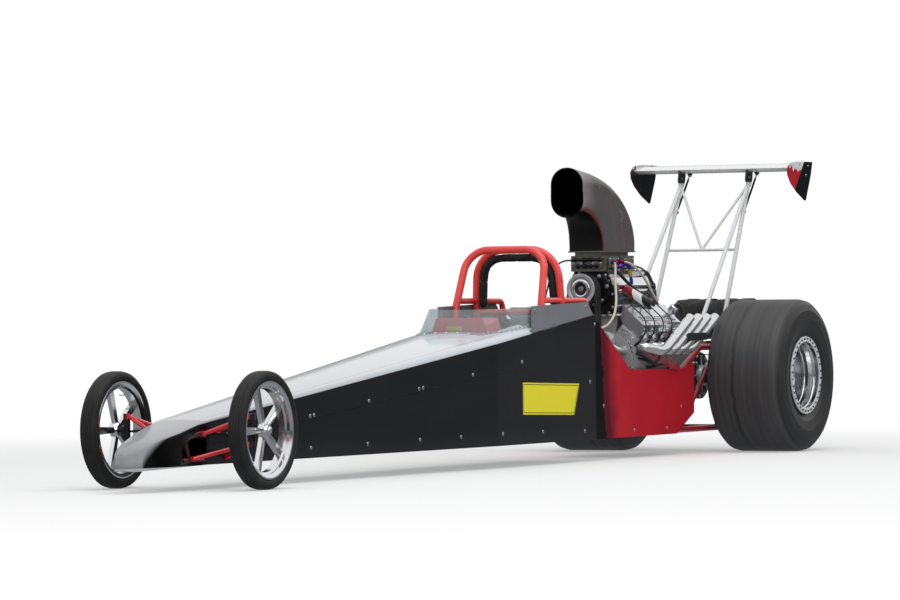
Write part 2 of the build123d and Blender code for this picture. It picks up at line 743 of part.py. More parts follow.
def rear_rim():
    half = rear_rim_w / 2
    lip = rear_lip_r
    seat = lip - 20
    barrel = [(-half, lip), (-half + 7, lip), (-half + 8, seat), (-half + 70, seat), (-half + 90, seat - 16),
              (half - 90, seat - 16), (half - 70, seat), (half - 14, seat), (half - 13, lip), (half, lip),
              (half, seat - 12), (half - 20, seat - 12), (half - 60, seat - 22), (-half + 100, seat - 22),
              (-half + 80, seat - 6), (-half, seat - 6)]
    disc_y = -half + 118
    centre = [(disc_y, seat - 18), (disc_y + 8, seat - 18), (disc_y + 26, 120.0), (disc_y + 20, 70.0),
              (disc_y + 44, 62.0),
              (disc_y + 50, 40.0), (disc_y + 50, 0.0), (-half - hub_reach, 0.0), (-half - hub_reach, hub_r),
              (disc_y - 12, hub_r), (disc_y + 10, 100.0)]
    rotor = [(-half - hub_reach + 3, rotor_r), (-half - hub_reach + 11, rotor_r),
             (-half - hub_reach + 11, hub_r + seat_gap),
             (-half - hub_reach + 3, hub_r + seat_gap)]
    return Compound([fused([turned(barrel, 0), turned(centre, 0)]).solid(), turned(rotor, 0).solid()])


def rear_tyre():
    half = rear_tyre_w / 2
    bead = rear_rim_w / 2 - 14 - seat_gap
    low = rear_lip_r - 20 + seat_gap
    points = [(-bead, low), (bead, low), (bead, rear_lip_r + 2), (half - 12, rear_lip_r + 40), (half, 320.0),
              (half - 4, 370.0), (half - 16, 405.0), (half - 38, 428.0), (half - 70, rear_tyre_r),
              (70 - half, rear_tyre_r), (38 - half, 428.0), (16 - half, 405.0), (4 - half,
                                                                                 370.0), (-half, 320.0),
              (12 - half, rear_lip_r + 40), (-bead, rear_lip_r + 2)]
    return turned(points, 0)


front_place = Pos(wheelbase, front_track / 2, front_tyre_r)
rear_place = Pos(0, rear_track / 2, rear_tyre_r)
for name, shape, place in (("front_rim", front_rim(), front_place),
                           ("front_tyre", front_tyre(), front_place),
                           ("rear_rim", rear_rim(), rear_place), ("rear_tyre", rear_tyre(), rear_place)):
    keep(name + "_left", place * shape)
    keep(name + "_right", right(place * shape))

# Rear axle: centre section, tubes, plates between the frame's rear uprights, brake discs and calipers
hub_face = rear_track / 2 - rear_rim_w / 2 - hub_reach
axle_plate_half = 110.0 - rail_d / 2 - seat_gap


def rear_axle():
    y = rail_y(body_joint)
    tube = disc(0, -hub_face + bearing_gap, rear_tyre_r, 44, 2 * (hub_face - bearing_gap))
    centre = disc(0, -105, rear_tyre_r, 135, 210)
    nose = roller(0, 0, rear_tyre_r - 40, 75, 190)
    plates = both([side_plate([(-axle_plate_half, 330.0), (axle_plate_half, 330.0), (axle_plate_half, 545.0),
                               (-axle_plate_half, 545.0)], y - 8, y + 8)])
    return fused([tube, centre, nose] + plates)


def brake_calipers():
    # a block over the front edge of each rotor, on the frame's upright
    inner = rail_y(body_joint) + rail_d / 2 + seat_gap
    y = hub_face + 3
    block = box(92, rotor_r + 24, inner, y + 22, rear_tyre_r - 50, rear_tyre_r + 50)
    return both([block - disc(0, y - 2.5, rear_tyre_r, rotor_r + 3, 13)])


keep("rear_axle", rear_axle())
keep("brake_calipers", brake_calipers())


# Engine: block and sump, heads, covers, plates, gearbox, blower, carburettor, scoop, headers

def engine_block():
    crankcase = cross_plate([(-140, 260), (140, 260), (150, 330), (232, 470), (118, 585), (60, 540),
                             (-60, 540),
                             (-118, 585), (-232, 470), (-150, 330)], engine_rear, engine_front)
    sump = cross_plate([(-120, 150), (120, 150), (136, 180), (136, 259.7), (-136, 259.7), (-136, 180)],
                       engine_rear + 10, engine_front - 10)
    front_cover = cross_plate([(-90, 270), (90, 270), (110, 350), (70, 520), (-70, 520), (-110, 350)],
                              engine_front + motor_plate + 2 * seat_gap, pulley_x - seat_gap)
    return [crankcase, sump, front_cover]


head_outline = [(118.2, 585.2), (232.2, 470.2), (243, 548), (260, 658), (172, 742), (130, 690)]
cover_outline = [(260.2, 658.2), (299, 700), (300, 737), (215, 812), (182, 850), (158, 842), (146, 800),
                 (172.2, 742.2)]


def cylinder_heads():
    return both([cross_plate(head_outline, engine_rear + 12, engine_front - 12)])


def valve_covers():
    return both([cross_plate(cover_outline, engine_rear + 20, engine_front - 20)])


def motor_plates():
    y = rail_y(body_joint) - rail_d / 2 - seat_gap
    outline = [(-y, 165), (y, 165), (y, 560), (214, 640), (150, 690), (-150, 690), (-214, 640), (-y, 560)]
    front = cross_plate(outline, engine_front + seat_gap, engine_front + seat_gap + motor_plate)
    front -= roller(engine_front - 20, 0, crank_z, 60, 60)
    rear = cross_plate(outline, engine_rear - seat_gap - motor_plate, engine_rear - seat_gap)
    return [front, rear]


def gearbox():
    bell_rear = engine_rear - 2 * seat_gap - motor_plate
    bell = Plane(origin=(bell_rear, 0, crank_z), z_dir=(-1, 0, 0)) * Cone(
        170, 120, 190, align=(Align.CENTER, Align.CENTER, Align.MIN))
    case = roller(190 + seat_gap, 0, crank_z + 20, 85, bell_rear - 190 - 150)
    return fused([bell, case])


keep("engine_block", engine_block())
keep("cylinder_heads", cylinder_heads())
keep("valve_covers", valve_covers())
keep("motor_plates", motor_plates())
keep("gearbox", gearbox())


def intake_manifold():
    top = blower_base - seat_gap
    return cross_plate([(-119.5, 600), (119.5, 600), (129.6, 690), (125, 710), (140, top), (-140, top),
                        (-125, 710),
                        (-129.6, 690)], blower_rear + 20, blower_front - 50)


def blower():
    half = blower_half
    case = cross_plate([(-half, blower_base), (half, blower_base), (half + 8, 850), (half + 2, 930),
                        (half - 28, 1005),
                        (half - 50, blower_top), (50 - half, blower_top), (28 - half, 1005), (-half - 2,
                                                                                              930),
                        (-half - 8, 850)], blower_rear, blower_front)
    ribs = []
    for z in (850.0, 885.0, 920.0, 955.0):
        ribs += both([box(blower_rear + 15, blower_front - 15, half - 10, half + 16, z, z + 7)])
    snout = roller(blower_front, 0, pulley_z, 46, pulley_x - blower_front - seat_gap)
    return fused([case, snout] + ribs)


belt_w = 76.0
top_pulley_r = 80.0
low_pulley_r = 92.0
belt_t = 6.0


def blower_drive():
    top = roller(pulley_x, 0, pulley_z, top_pulley_r, belt_w)
    top -= roller(pulley_x + belt_w - 20, 0, pulley_z, 45, 30)
    low = roller(pulley_x, 0, crank_z, low_pulley_r, belt_w)
    return [top, low]


def drive_belt():
    lean = degrees(atan((low_pulley_r - top_pulley_r) / (pulley_z - crank_z)))
    rings = []
    for extra in (belt_t, 0.3):
        top = (pulley_z, top_pulley_r + extra)
        low = (crank_z, low_pulley_r + extra)
        band = fused([roller(pulley_x, 0, z, r, belt_w) for z, r in (top, low)])
        tilt = radians(lean)
        side = [(top[1] * cos(tilt), top[0] + top[1] * sin(tilt)),
                (low[1] * cos(tilt), low[0] + low[1] * sin(tilt))]
        web = side + [(-y, z) for y, z in reversed(side)]
        rings.append(fused([band, cross_plate(web, pulley_x, pulley_x + belt_w)]))
    return rings[0] - rings[1]


keep("intake_manifold", intake_manifold())
keep("blower", blower())
keep("blower_drive", blower_drive())
keep("drive_belt", drive_belt())

scoop_base = 1155.0
scoop_wall = 3.0
carb_half = 105.0


def carburettors():
    # two square bodies on the supercharger, a narrow neck and the plate that carries the scoop
    low = blower_top + seat_gap
    bodies = [box(x, x + 185, -carb_half, carb_half, low, 1128.0) for x in (905.0, 1105.0)]
    joint = box(1080, 1120, -70, 70, low, 1120.0)
    neck = box(930, 1290, -80, 80, 1127.0, scoop_base - 8)
    plate = box(897, 1312, -112, 112, scoop_base - 8, scoop_base - seat_gap)
    return fused(bodies + [joint, neck, plate])


keep("carburettors", carburettors())

# scoop sections: rear/top point (x, z), front/lower point (x, z), half width, corner radius
scoop_table = [
    ((897.0, scoop_base), (1312.0, scoop_base), 112.0, 22.0),
    ((925.0, 1310.0), (1322.0, 1240.0), 112.0, 28.0),
    ((1060.0, 1460.0), (1370.0, 1312.0), 108.0, 44.0),
    ((1270.0, 1562.0), (1455.0, 1358.0), 104.0, 68.0),
    ((1554.0, 1616.0), (1554.0, 1337.0), 100.0, 96.0),
]


def scoop_section(rear, front, half, corner, inset, push):
    # an oval across the duct; push moves it along the duct so that a cut runs out of the end
    run = Vector(front[0] - rear[0], 0, front[1] - rear[1])
    length = run.length
    normal = run.normalized().cross(Vector(0, 1, 0))
    middle = Vector((rear[0] + front[0]) / 2, 0, (rear[1] + front[1]) / 2) + normal * push
    plane = Plane(origin=middle, x_dir=run, z_dir=normal)
    return plane * RectangleRounded(length - 2 * inset, 2 * (half - inset), corner - inset)


def air_scoop():
    outer = loft([scoop_section(*row, 0, 0) for row in scoop_table])
    inner = [scoop_section(*row, scoop_wall, 0) for row in scoop_table]
    return outer - loft(inner)


keep("air_scoop", air_scoop())

first_port = 1164.0
port_share = 0.655


def header_low(x):
    return (x - 140, 336.0, 586.0)


def header_end(x):
    return (x - 480, 350.0, 774.0)


def header(x):
    # leaves the head square to its outer face, dips and sweeps up and back
    low = Vector(0, *head_outline[2])
    high = Vector(0, *head_outline[3])
    outward = Vector(1, 0, 0).cross(high - low).normalized() * -1
    port = low + (high - low) * port_share + outward * seat_gap + Vector(x, 0, 0)
    route = [port, port + outward * 45, header_low(x), header_end(x)]
    pipe = bent_bar(route, header_d, [42, 160])
    run = Vector(*route[3]) - Vector(*route[2])
    bore_start = Vector(*route[3]) - run.normalized() * 90
    pipe -= bar(bore_start, Vector(*route[3]) + run.normalized() * 5, header_d - 2 * header_wall)
    return pipe


def headers():
    return both([header(first_port - bore_spacing * index) for index in range(4)])


def header_straps():
    # a flat plate along the outboard side of the second to fourth pipes on each bank
    end = Vector(*header_end(first_port))
    along = (end - Vector(*header_low(first_port))).normalized()
    outward = along.cross(Vector(1, 0, 0)).normalized()
    crest = end - along * 215 + outward * (header_d / 2 + seat_gap)
    length = 2 * bore_spacing + 30
    middle = crest - Vector(2 * bore_spacing, 0, 0)
    plate = Plane(origin=middle, x_dir=(1, 0, 0), z_dir=outward) * Box(
        length, 42, 4, align=(Align.CENTER, Align.CENTER, Align.MIN))
    return both([plate])


keep("headers", headers())
keep("header_straps", header_straps())


def ignition_coil():
    # a canister beside the blower, leaning out over the left bank
    start = Vector(1190, 172, 948)
    end = Vector(1110, 268, 868)
    body = bar(start, end, 50)
    cap = bar(end, end + (end - start).normalized() * 28, 60)
    foot = box(1150, 1200, blower_side, 166, 940, 960)
    return fused([body, cap, foot])


keep("ignition_coil", ignition_coil())

hose_d = 14.0
# hand-placed routes of the two fuel hoses on the left side
feed_route = [(1230.0, carb_half + seat_gap, 1090.0), (1230.0, 138.0, 1090.0), (1290.0, 168.0, 1050.0),
              (1340.0, 190.0, 970.0),
              (1375.0, 212.0, 880.0), (1420.0, 222.0, 800.0), (1500.0, 222.0, 745.0), (1600.0, 216.0, 722.0),
              (1710.0, 205.0, 716.0), (1848.5, 200.0, 716.0)]
return_route = [(1150.0, carb_half + seat_gap, 1095.0), (1150.0, 138.0, 1095.0), (1090.0, 168.0, 1085.0),
                (1000.0, 182.0, 1040.0),
                (920.0, 190.0, 980.0), (850.0, 190.0, 920.0), (790.0, 188.0, 880.0), (760.0, 182.0, 871.0),
                (760.0, 142.2, 871.0)]


def fuel_hoses():
    hoses = []
    for route in (feed_route, return_route):
        radii = []
        for before, here, after in zip(route, route[1:], route[2:]):
            run_in = Vector(here) - Vector(before)
            run_out = Vector(after) - Vector(here)
            turn = radians(run_in.get_angle(run_out))
            radii.append(0.45 * min(run_in.length, run_out.length) / tan(turn / 2))
        hoses.append(bent_bar(route, hose_d, radii))
    return hoses


keep("fuel_hoses", fuel_hoses())


# Wing, its plates and its struts

def wing_element(extra):
    # two arcs between the leading and trailing edges, grown by extra above and below
    half_t = wing_thick / 2
    deep_x = wing_front - 0.36 * wing_chord
    lead = (wing_front - 6, wing_z)
    tail = (wing_front - wing_chord, wing_z + 14)
    top = ThreePointArc(lead, (deep_x, wing_z + 3 + half_t + extra), tail)
    low = ThreePointArc(tail, (deep_x, wing_z + 3 - half_t - extra), lead)
    outline = Plane(origin=(0, -wing_half, 0), x_dir=(1, 0, 0), z_dir=(0, -1, 0)) * make_face([top, low])
    return extrude(outline, amount=2 * wing_half, dir=(0, 1, 0))


# end plate outline: station, height
end_plate_rise = [(-378.0, -9.0), (-416.0, 28.0), (-537.0, 39.0), (-rear_overhang, 39.0),
                  (-731.0, -44.0),
                  (-655.0, -188.0), (-639.0, -190.0), (-517.0, -141.0), (-428.0, -90.0), (-385.0, -44.0)]
end_plate = [(x, wing_z + rise) for x, rise in end_plate_rise]


def wing_end_plates():
    y = wing_half + seat_gap
    return both([side_plate(end_plate, y, y + end_plate_wall)])


strut_top = (-470.0, strut_y, wing_z - 92.0)
lug_top = rear_top_z + strut_tube_d / 2 + 42
strut_foot_z = lug_top - 14
strut_cross_z = wing_z - 475.0


def wing_struts():
    # two raked legs a side, lugs on the frame's cross tubes, a crossbar with a V above it and
    # a plate that carries the wing on each pair of legs
    lug_base = rear_top_z + strut_tube_d / 2 + seat_gap
    share = (strut_top[2] - strut_cross_z) / (strut_top[2] - strut_foot_z)
    cross_x = strut_top[0] + share * (strut_rear_x - strut_top[0])
    cross_y = strut_y + share * (strut_foot_y - strut_y)
    pieces = [bar((strut_top[0], strut_y, strut_top[2]), (cross_x, 0, strut_cross_z), 16)]
    for x in (kick_x, strut_rear_x):
        pieces.append(bar((x, strut_foot_y, strut_foot_z), strut_top, wing_tube_d))
        pieces.append(box(x - 20, x + 20, strut_foot_y - 5, strut_foot_y + 5, lug_base, lug_top))
    rise = wing_z - 60
    plate = side_plate([(-500, strut_top[2] - 12), (-450, strut_top[2] - 16), (-430, rise), (-445, wing_z),
                        (-535, wing_z), (-525, rise)], strut_y - 4, strut_y + 4)
    pieces = both(pieces + [plate])
    pieces.append(bar((cross_x, -cross_y, strut_cross_z), (cross_x, cross_y, strut_cross_z), 16))
    return fused(pieces) - wing_element(seat_gap) - box(-800, 0, -400, 400, wing_z + 1, wing_z + 160)


keep("wing_element", wing_element(0))
keep("wing_end_plates", wing_end_plates())
keep("wing_struts", wing_struts())


def parachute_packs():
    low = tray_z + brace_d / 2 + seat_gap
    return both([fillet(box(-600, -345, 8, 235, low, 885).edges(), 30)])


keep("parachute_packs", parachute_packs())

os.makedirs("parts", exist_ok=True)
for name, solids in nodes.items():
    flat = [piece for shape in solids for piece in shape.solids()]
    export_step(Compound([Pos(rear_axle_x, 0, 0) * piece for piece in flat]), "parts/" + name + ".step")
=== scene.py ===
import math

import bmesh
import bpy
import numpy as np
from mathutils import Matrix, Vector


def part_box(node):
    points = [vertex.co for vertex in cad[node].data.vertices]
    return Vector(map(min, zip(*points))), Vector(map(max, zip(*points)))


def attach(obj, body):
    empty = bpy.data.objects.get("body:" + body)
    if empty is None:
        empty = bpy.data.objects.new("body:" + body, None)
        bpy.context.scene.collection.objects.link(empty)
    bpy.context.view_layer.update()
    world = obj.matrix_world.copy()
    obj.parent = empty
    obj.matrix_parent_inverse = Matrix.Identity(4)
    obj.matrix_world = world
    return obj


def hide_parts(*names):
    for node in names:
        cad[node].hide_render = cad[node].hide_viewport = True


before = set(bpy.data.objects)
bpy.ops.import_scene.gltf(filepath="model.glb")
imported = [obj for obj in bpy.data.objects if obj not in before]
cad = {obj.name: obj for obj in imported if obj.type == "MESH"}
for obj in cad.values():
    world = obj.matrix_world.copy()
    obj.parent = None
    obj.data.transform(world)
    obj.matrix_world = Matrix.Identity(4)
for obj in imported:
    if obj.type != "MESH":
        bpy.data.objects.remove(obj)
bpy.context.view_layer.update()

# ---- Camera, floor and light
# A long lens from the front left, low over the track, with a pale studio floor
# that fades to white far from the car.
axle_shift = -2.847


def at(station):
    """Shared-frame x in metres of a station, which is metres forward of the rear axle."""
    return station + axle_shift


def place(station, y, z):
    """Shared-frame point in metres."""
    return (at(station), y, z)


def stood(name, data, axes, spot):
    """A linked object with the given axes and place."""
    made = bpy.data.objects.new(name, data)
    bpy.context.scene.collection.objects.link(made)
    made.matrix_world = Matrix(np.vstack([np.column_stack([*axes, spot]), [0, 0, 0, 1]]).tolist())
    return made


focal_pixels, frame_pixels = 5078, 900
yaw, pitch, roll = math.radians(26.768), math.radians(0.048), math.radians(-0.606)
back = np.array([math.cos(yaw) * math.cos(pitch), math.sin(yaw) * math.cos(pitch), math.sin(pitch)])
right = np.array([-math.sin(yaw), math.cos(yaw), 0.0])
up = np.cross(back, right)
rolled_right = math.cos(roll) * right + math.sin(roll) * up
rolled_up = math.cos(roll) * up - math.sin(roll) * right
lens = bpy.data.cameras.new("long_lens")
lens.sensor_width = 36.0
lens.lens = lens.sensor_width * focal_pixels / frame_pixels
lens.clip_start, lens.clip_end = 1.0, 500.0
bpy.context.scene.camera = stood("camera", lens, (rolled_right, rolled_up, back),
                                 place(26.945, 12.076, 0.913))
bpy.context.scene.view_settings.view_transform = "Standard"


def linear(code):
    """Linear RGBA of an sRGB hex colour: c / 12.92 below 0.04045, else ((c + 0.055) / 1.055) ** 2.4."""
    values = [int(code[i:i + 2], 16) / 255 for i in (1, 3, 5)]
    return tuple(v / 12.92 if v <= 0.04045 else ((v + 0.055) / 1.055) ** 2.4 for v in values) + (1.0,)


def add(tree, kind, settings=None, **inputs):
    """One node: settings are attributes; inputs are values, hex colours or sockets, _0 names by number."""
    made = tree.nodes.new(kind)
    for key, value in (settings or {}).items():
        setattr(made, key, value)
    for key, value in inputs.items():
        socket = made.inputs[int(key[1:]) if key[1:].isdigit() else key.replace("_", " ")]
        value = value.socket if isinstance(value, Signal) else value
        if isinstance(value, bpy.types.NodeSocket):
            tree.links.new(value, socket)
        else:
            socket.default_value = linear(value) if isinstance(value, str) else value
    return made


class Signal:
    """A node's output that computes: each sign or named function is one Math node."""

    def __init__(self, socket):
        self.socket, self.tree = socket, socket.id_data

    def math(self, kind, *values):
        """One Math node of the named operation on signals or numbers."""
        inputs = {f"_{i}": value for i, value in enumerate(values)}
        return Signal(add(self.tree, "ShaderNodeMath", {"operation": kind}, **inputs).outputs[0])

    def __add__(self, other):
        return self.math("ADD", self, other)

    def __sub__(self, other):
        return self.math("SUBTRACT", self, other)

    def __rsub__(self, other):
        return self.math("SUBTRACT", other, self)

    def __mul__(self, other):
        return self.math("MULTIPLY", self, other)

    def __truediv__(self, other):
        return self.math("DIVIDE", self, other)

    def __abs__(self):
        return self.math("ABSOLUTE", self)

    __radd__ = __add__


def most(a, b):
    """The larger of a signal and another or a number."""
    return a.math("MAXIMUM", a, b)


def wave(a):
    """Sine of a signal."""
    return a.math("SINE", a)


def root(a):
    """Square root of a signal."""
    return a.math("SQRT", a)


def blend(share, low, high):
    """Colour between low and high by share; both are hex colours or signals."""
    return Signal(add(share.tree, "ShaderNodeMix", {"data_type": "RGBA"}, _0=share, _6=low,
                      _7=high).outputs[2])


def ramp(value, low, high, kind="LINEAR"):
    """0 below low, 1 above high and straight or smooth between."""
    settings = {"clamp": True, "interpolation_type": kind}
    return Signal(add(value.tree, "ShaderNodeMapRange", settings, Value=value, From_Min=low,
                      From_Max=high).outputs[0])


def band(value, low, high, soft=0.0006):
    """1 between low and high, 0 outside, with edges 2 * soft wide."""
    return ramp(value, low - soft, low + soft) * ramp(value, high + soft, high - soft)


def mottle(spot, scale, detail=4.0, stretch=(1.0, 1.0, 1.0)):
    """Noise of about 1 / scale metres, from 0 to 1, stretched along an axis where stretch is small."""
    turned = add(spot.tree, "ShaderNodeMapping", Vector=spot, Scale=stretch).outputs[0]
    return Signal(add(spot.tree, "ShaderNodeTexNoise", Vector=turned, Scale=scale, Detail=detail).outputs[0])


def cloudy(spot, scale, dark, light, detail=4.0):
    """Colour that drifts between dark and light over about 1 / scale metres."""
    return blend(mottle(spot, scale, detail), dark, light)


def mixed(tree, share, low, high):
    """A shader between low and high by share."""
    return add(tree, "ShaderNodeMixShader", _0=share, _1=low, _2=high).outputs[0]


class Finish:
    """A Principled material; clouds (scale, dark, light) tint it, grain (scale, detail, depth) is a bump."""

    def __init__(self, name, colour, rough=0.5, metallic=0.0, clouds=None, grain=None, **more):
        self.made = bpy.data.materials.new(name)
        self.made.use_nodes = True
        self.tree = self.made.node_tree
        self.tree.nodes.clear()
        self.shader = add(self.tree, "ShaderNodeBsdfPrincipled", Base_Color=colour, Roughness=rough,
                          Metallic=metallic, **more)
        self.last = add(self.tree, "ShaderNodeOutputMaterial", Surface=self.shader.outputs[0])
        if clouds:
            self.tint(cloudy(self.where()[0], *clouds))
        if grain:
            self.bump(mottle(self.where()[0], *grain[:2]), grain[2])

    def where(self):
        """Object coordinates, which are the shared frame's metres: all three as one, then x, y and z."""
        spot = Signal(add(self.tree, "ShaderNodeTexCoord").outputs["Object"])
        return [spot] + [Signal(part) for part in add(self.tree, "ShaderNodeSeparateXYZ", _0=spot).outputs]

    def facing(self):
        """x, y and z of the normal."""
        normal = add(self.tree, "ShaderNodeNewGeometry").outputs["Normal"]
        return [Signal(part) for part in add(self.tree, "ShaderNodeSeparateXYZ", _0=normal).outputs]

    def tint(self, colour, socket="Base Color"):
        """Links a signal to the shader's colour or other socket."""
        self.tree.links.new(colour.socket, self.shader.inputs[socket])
        return self

    def bump(self, height, depth):
        """Puts a height field of the given depth in metres on the shader."""
        raised = add(self.tree, "ShaderNodeBump", Height=height, Distance=depth, Strength=1.0)
        self.tree.links.new(raised.outputs[0], self.shader.inputs["Normal"])
        return self

    def on(self, *nodes):
        """Gives CAD nodes this finish."""
        for node in nodes:
            cad[node].data.materials.clear()
            cad[node].data.materials.append(self.made)


def ray_kinds(tree):
    """1 for camera, glossy or transmission rays, and 1 for glossy rays."""
    ray = add(tree, "ShaderNodeLightPath").outputs
    glossy = Signal(ray["Is Glossy Ray"])
    return most(Signal(ray["Is Camera Ray"]), most(glossy, ray["Is Transmission Ray"])), glossy


paving = Finish("studio_floor", "#eff0f0")
tree = paving.tree
far = Signal(add(tree, "ShaderNodeVectorMath", {"operation": "LENGTH"},
                 _0=paving.where()[0]).outputs["Value"])
seen, glossy = ray_kinds(tree)
matt = add(tree, "ShaderNodeBsdfDiffuse", Color="#eff0f0").outputs[0]
glow = add(tree, "ShaderNodeEmission", Color="#ffffff", Strength=1.0).outputs[0]
asphalt = add(tree, "ShaderNodeEmission", Color="#8e9194", Strength=1.0).outputs[0]
faded = mixed(tree, seen * (ramp(far, 3.0, 7.5) * 0.70 + 0.30), matt, glow)
tree.links.new(mixed(tree, glossy, faded, asphalt), paving.last.inputs[0])
tree.nodes.remove(paving.shader)
floor_half = 160.0
floor_mesh = bpy.data.meshes.new("studio_floor")
floor_mesh.from_pydata([(-floor_half, -floor_half, 0), (floor_half, -floor_half, 0),
                        (floor_half, floor_half, 0),
                        (-floor_half, floor_half, 0)], [], [(0, 1, 2, 3)])
floor_mesh.materials.append(paving.made)
floor = stood("studio_floor", floor_mesh, np.eye(3), (0, 0, 0))

# reflections see a broken dark skyline under a white sky, so that bright metal has contrast
sky = bpy.data.worlds.new("studio")
sky.use_nodes = True
tree = sky.node_tree
tree.nodes.clear()
seen, glossy = ray_kinds(tree)
lamp_part = add(tree, "ShaderNodeBackground", Color="#ffffff", Strength=0.56).outputs[0]
white_part = add(tree, "ShaderNodeBackground", Color="#ffffff", Strength=1.0).outputs[0]
way = Signal(add(tree, "ShaderNodeTexCoord").outputs["Generated"])
climb = Signal(add(tree, "ShaderNodeSeparateXYZ", _0=way).outputs[2])
climb = climb + (mottle(way, 2.6, 3.0, (1.0, 1.0, 2.0)) - 0.5) * 0.55
horizon = blend(ramp(climb, 0.10, 0.22), "#3c3f44", "#ffffff")
skyline = add(tree, "ShaderNodeBackground", Color=horizon, Strength=1.0).outputs[0]
plain = mixed(tree, seen, lamp_part, white_part)
add(tree, "ShaderNodeOutputWorld", Surface=mixed(tree, glossy, plain, skyline))
bpy.context.scene.world = sky

for name, spot, aim, size, power in (("overhead", (1.5, 2.0, 9.0), (0.0, 0.0, 0.5), 9.0, 470.0),
                                     ("front_left", (12.0, 9.0, 5.0), (0.0, 0.0, 0.6), 5.0, 250.0)):
    lamp = bpy.data.lights.new(name, "AREA")
    lamp.shape = "SQUARE"
    lamp.size = size
    lamp.energy = power
    away = np.array(spot) - aim
    away /= np.linalg.norm(away)
    side = np.cross((0, 0, 1), away)
    side /= np.linalg.norm(side)
    stood(name, lamp, (side, np.cross(away, side), away), spot)

# ---- Tube frame
# Round steel tube, welded, then powder coated deep red. The lugs on it are bare
# machined steel with a fine turned grain.
red_coat = Finish("powder_coated_red", "#a31a22", 0.3, grain=(900.0, 2.0, 0.00012), Coat_Weight=0.3,
                  Coat_Roughness=0.2)  # satin red with a soft second gloss, darkened by painted shade between and ahead of the front wheels
spot, x, y, z = red_coat.where()
# painted shade: forward of station 5.80 the red runs to near black by 5.95, under the nose cone
red_coat.tint(blend(ramp(x, at(5.80), at(5.95)), cloudy(spot, 9.0, "#8e161d", "#b3222a"), "#3d0f13"))
red_coat.on("frame_front", "frame_cockpit", "frame_rear")

arm_red = Finish("bright_red_enamel", "#d01c26", 0.25, Coat_Weight=0.4, Coat_Roughness=0.1)  # wet bright red
spot, x, y, z = arm_red.where()
# the wishbones' outer ends, beyond 0.342 m from the middle, sit inside the front wheels and are painted near
# black: painted shade
arm_red.tint(blend(ramp(abs(y), 0.338, 0.342), cloudy(spot, 12.0, "#c2161f", "#d8242c"), "#161618"))
arm_red.on("wishbones")

Finish("black_oxide_forging", "#1a1a1c", 0.42, 0.5, (30.0, "#141416", "#26262a"),
       (500.0, 2.0, 0.00015)).on("knuckle_left", "knuckle_right")  # dull, oily black

# grey metal with an uneven shine
bare_steel = Finish("machined_steel", "#8f9194", 0.34, 1.0, (25.0, "#7f8184", "#a0a2a5"))
bare_steel.tint(ramp(mottle(bare_steel.where()[0], 60.0), -0.6, 1.6), "Roughness")
bare_steel.on("tie_down_tabs", "tie_rods", "blower_drive")

# ---- Body
# Thin aluminium panels on the frame, two-stage gloss paint. The deck is pale
# silver, the flanks black, the engine bay deep red that darkens forward.


def gloss(name, colour, rough=0.12, **more):
    """Automotive paint under clear coat."""
    return Finish(name, colour, rough, IOR=1.45, Specular_IOR_Level=0.35, Coat_Weight=0.6,
                  Coat_Roughness=0.04,
                  Coat_IOR=1.4, **more)


# silver, painted lighter and bluer at the rear and darker toward the nose as painted light and shade, with
# two pinstripes along its edge
deck_silver = gloss("silver_paint_with_painted_light", "#b9bcbf", 0.28)
spot, x, y, z = deck_silver.where()
# painted light and shade: lighter and bluer at station 3.0, darker by 5.9
base = blend(ramp(x, at(3.0), at(5.9)), "#cdd5db", "#a3a7ab")
inset = 0.280 - most(x - at(3.0), 0.0) * 0.05 - abs(y)
base = blend(band(inset, 0.0445, 0.0475), base, "#6a2230")
base = blend(band(inset, 0.050, 0.0512), base, "#c0602c")
deck_silver.tint(base).on("deck_panel")

# the nose turns from silver above to black below a line that sweeps up to the deck's edge, airbrushed
# wide at the tip and crisp at the rear: z = 0.113 + 0.207 * sqrt(1 - (s / 0.562) ** 2)
nose_paint = Finish("silver_to_black_fade_paint", "#8c9094", 0.2, IOR=1.4, Specular_IOR_Level=0.12,
                    Coat_Weight=0.12, Coat_Roughness=0.04, Coat_IOR=1.3)
spot, x, y, z = nose_paint.where()
run = (x - at(5.80)) / 0.562
line = root(most(1.0 - run * run, 0.0)) * 0.207 + 0.113
soft = ramp(x, at(6.15), at(6.38)) * 0.040 + 0.004
share = ramp(line - z, soft * -1.0, soft, "SMOOTHSTEP") * ramp(nose_paint.facing()[2], 0.80, 0.62)
# painted shade: the silver darkens from station 5.9 to the tip at 6.45
base = blend(share, blend(ramp(x, at(5.9), at(6.45)), "#a6a9ac", "#98999c"), "#0b0b0c")
# below z 0.119 a light silver strip runs along the lower edge: painted highlight on the rolled-under edge
nose_paint.tint(blend(ramp(z, 0.1195, 0.1185), base, "#a9acaf")).on("nose_cone")

# deep black flank with a plain yellow block, bordered in black, on the left and right plates
black_gloss = Finish("black_two_stage_paint", "#161618", 0.14, IOR=1.4, Specular_IOR_Level=0.16,
                     Coat_Weight=0.20, Coat_Roughness=0.03, Coat_IOR=1.4)
spot, x, y, z = black_gloss.where()
base = blend(ramp(mottle(spot, 3.0, 6.0, (0.4, 1.0, 1.6)), 0.35, 0.9), "#111113", "#1c1c1e")
# below z 0.19 the black turns toward a lighter grey, most at the bottom edge
base = blend(ramp(z, 0.19, 0.12) * 0.35, base, "#2c2d30")
level = z - (x - at(2.35)) * 0.027
lean = x + (z - 0.35) * 0.40
for grow, colour in ((0.0, "#e8dc2a"), (-0.008, "#0a0a0b"), (-0.012, "#e8dc2a")):
    ends = ramp(lean, at(2.045 - grow), at(2.046 - grow)) * ramp(x, at(2.712 + grow), at(2.711 + grow))
    base = blend(band(level, 0.268 - grow, 0.438 + grow) * ends, base, colour)
black_gloss.tint(base).on("lower_side_panels", "upper_side_panels")

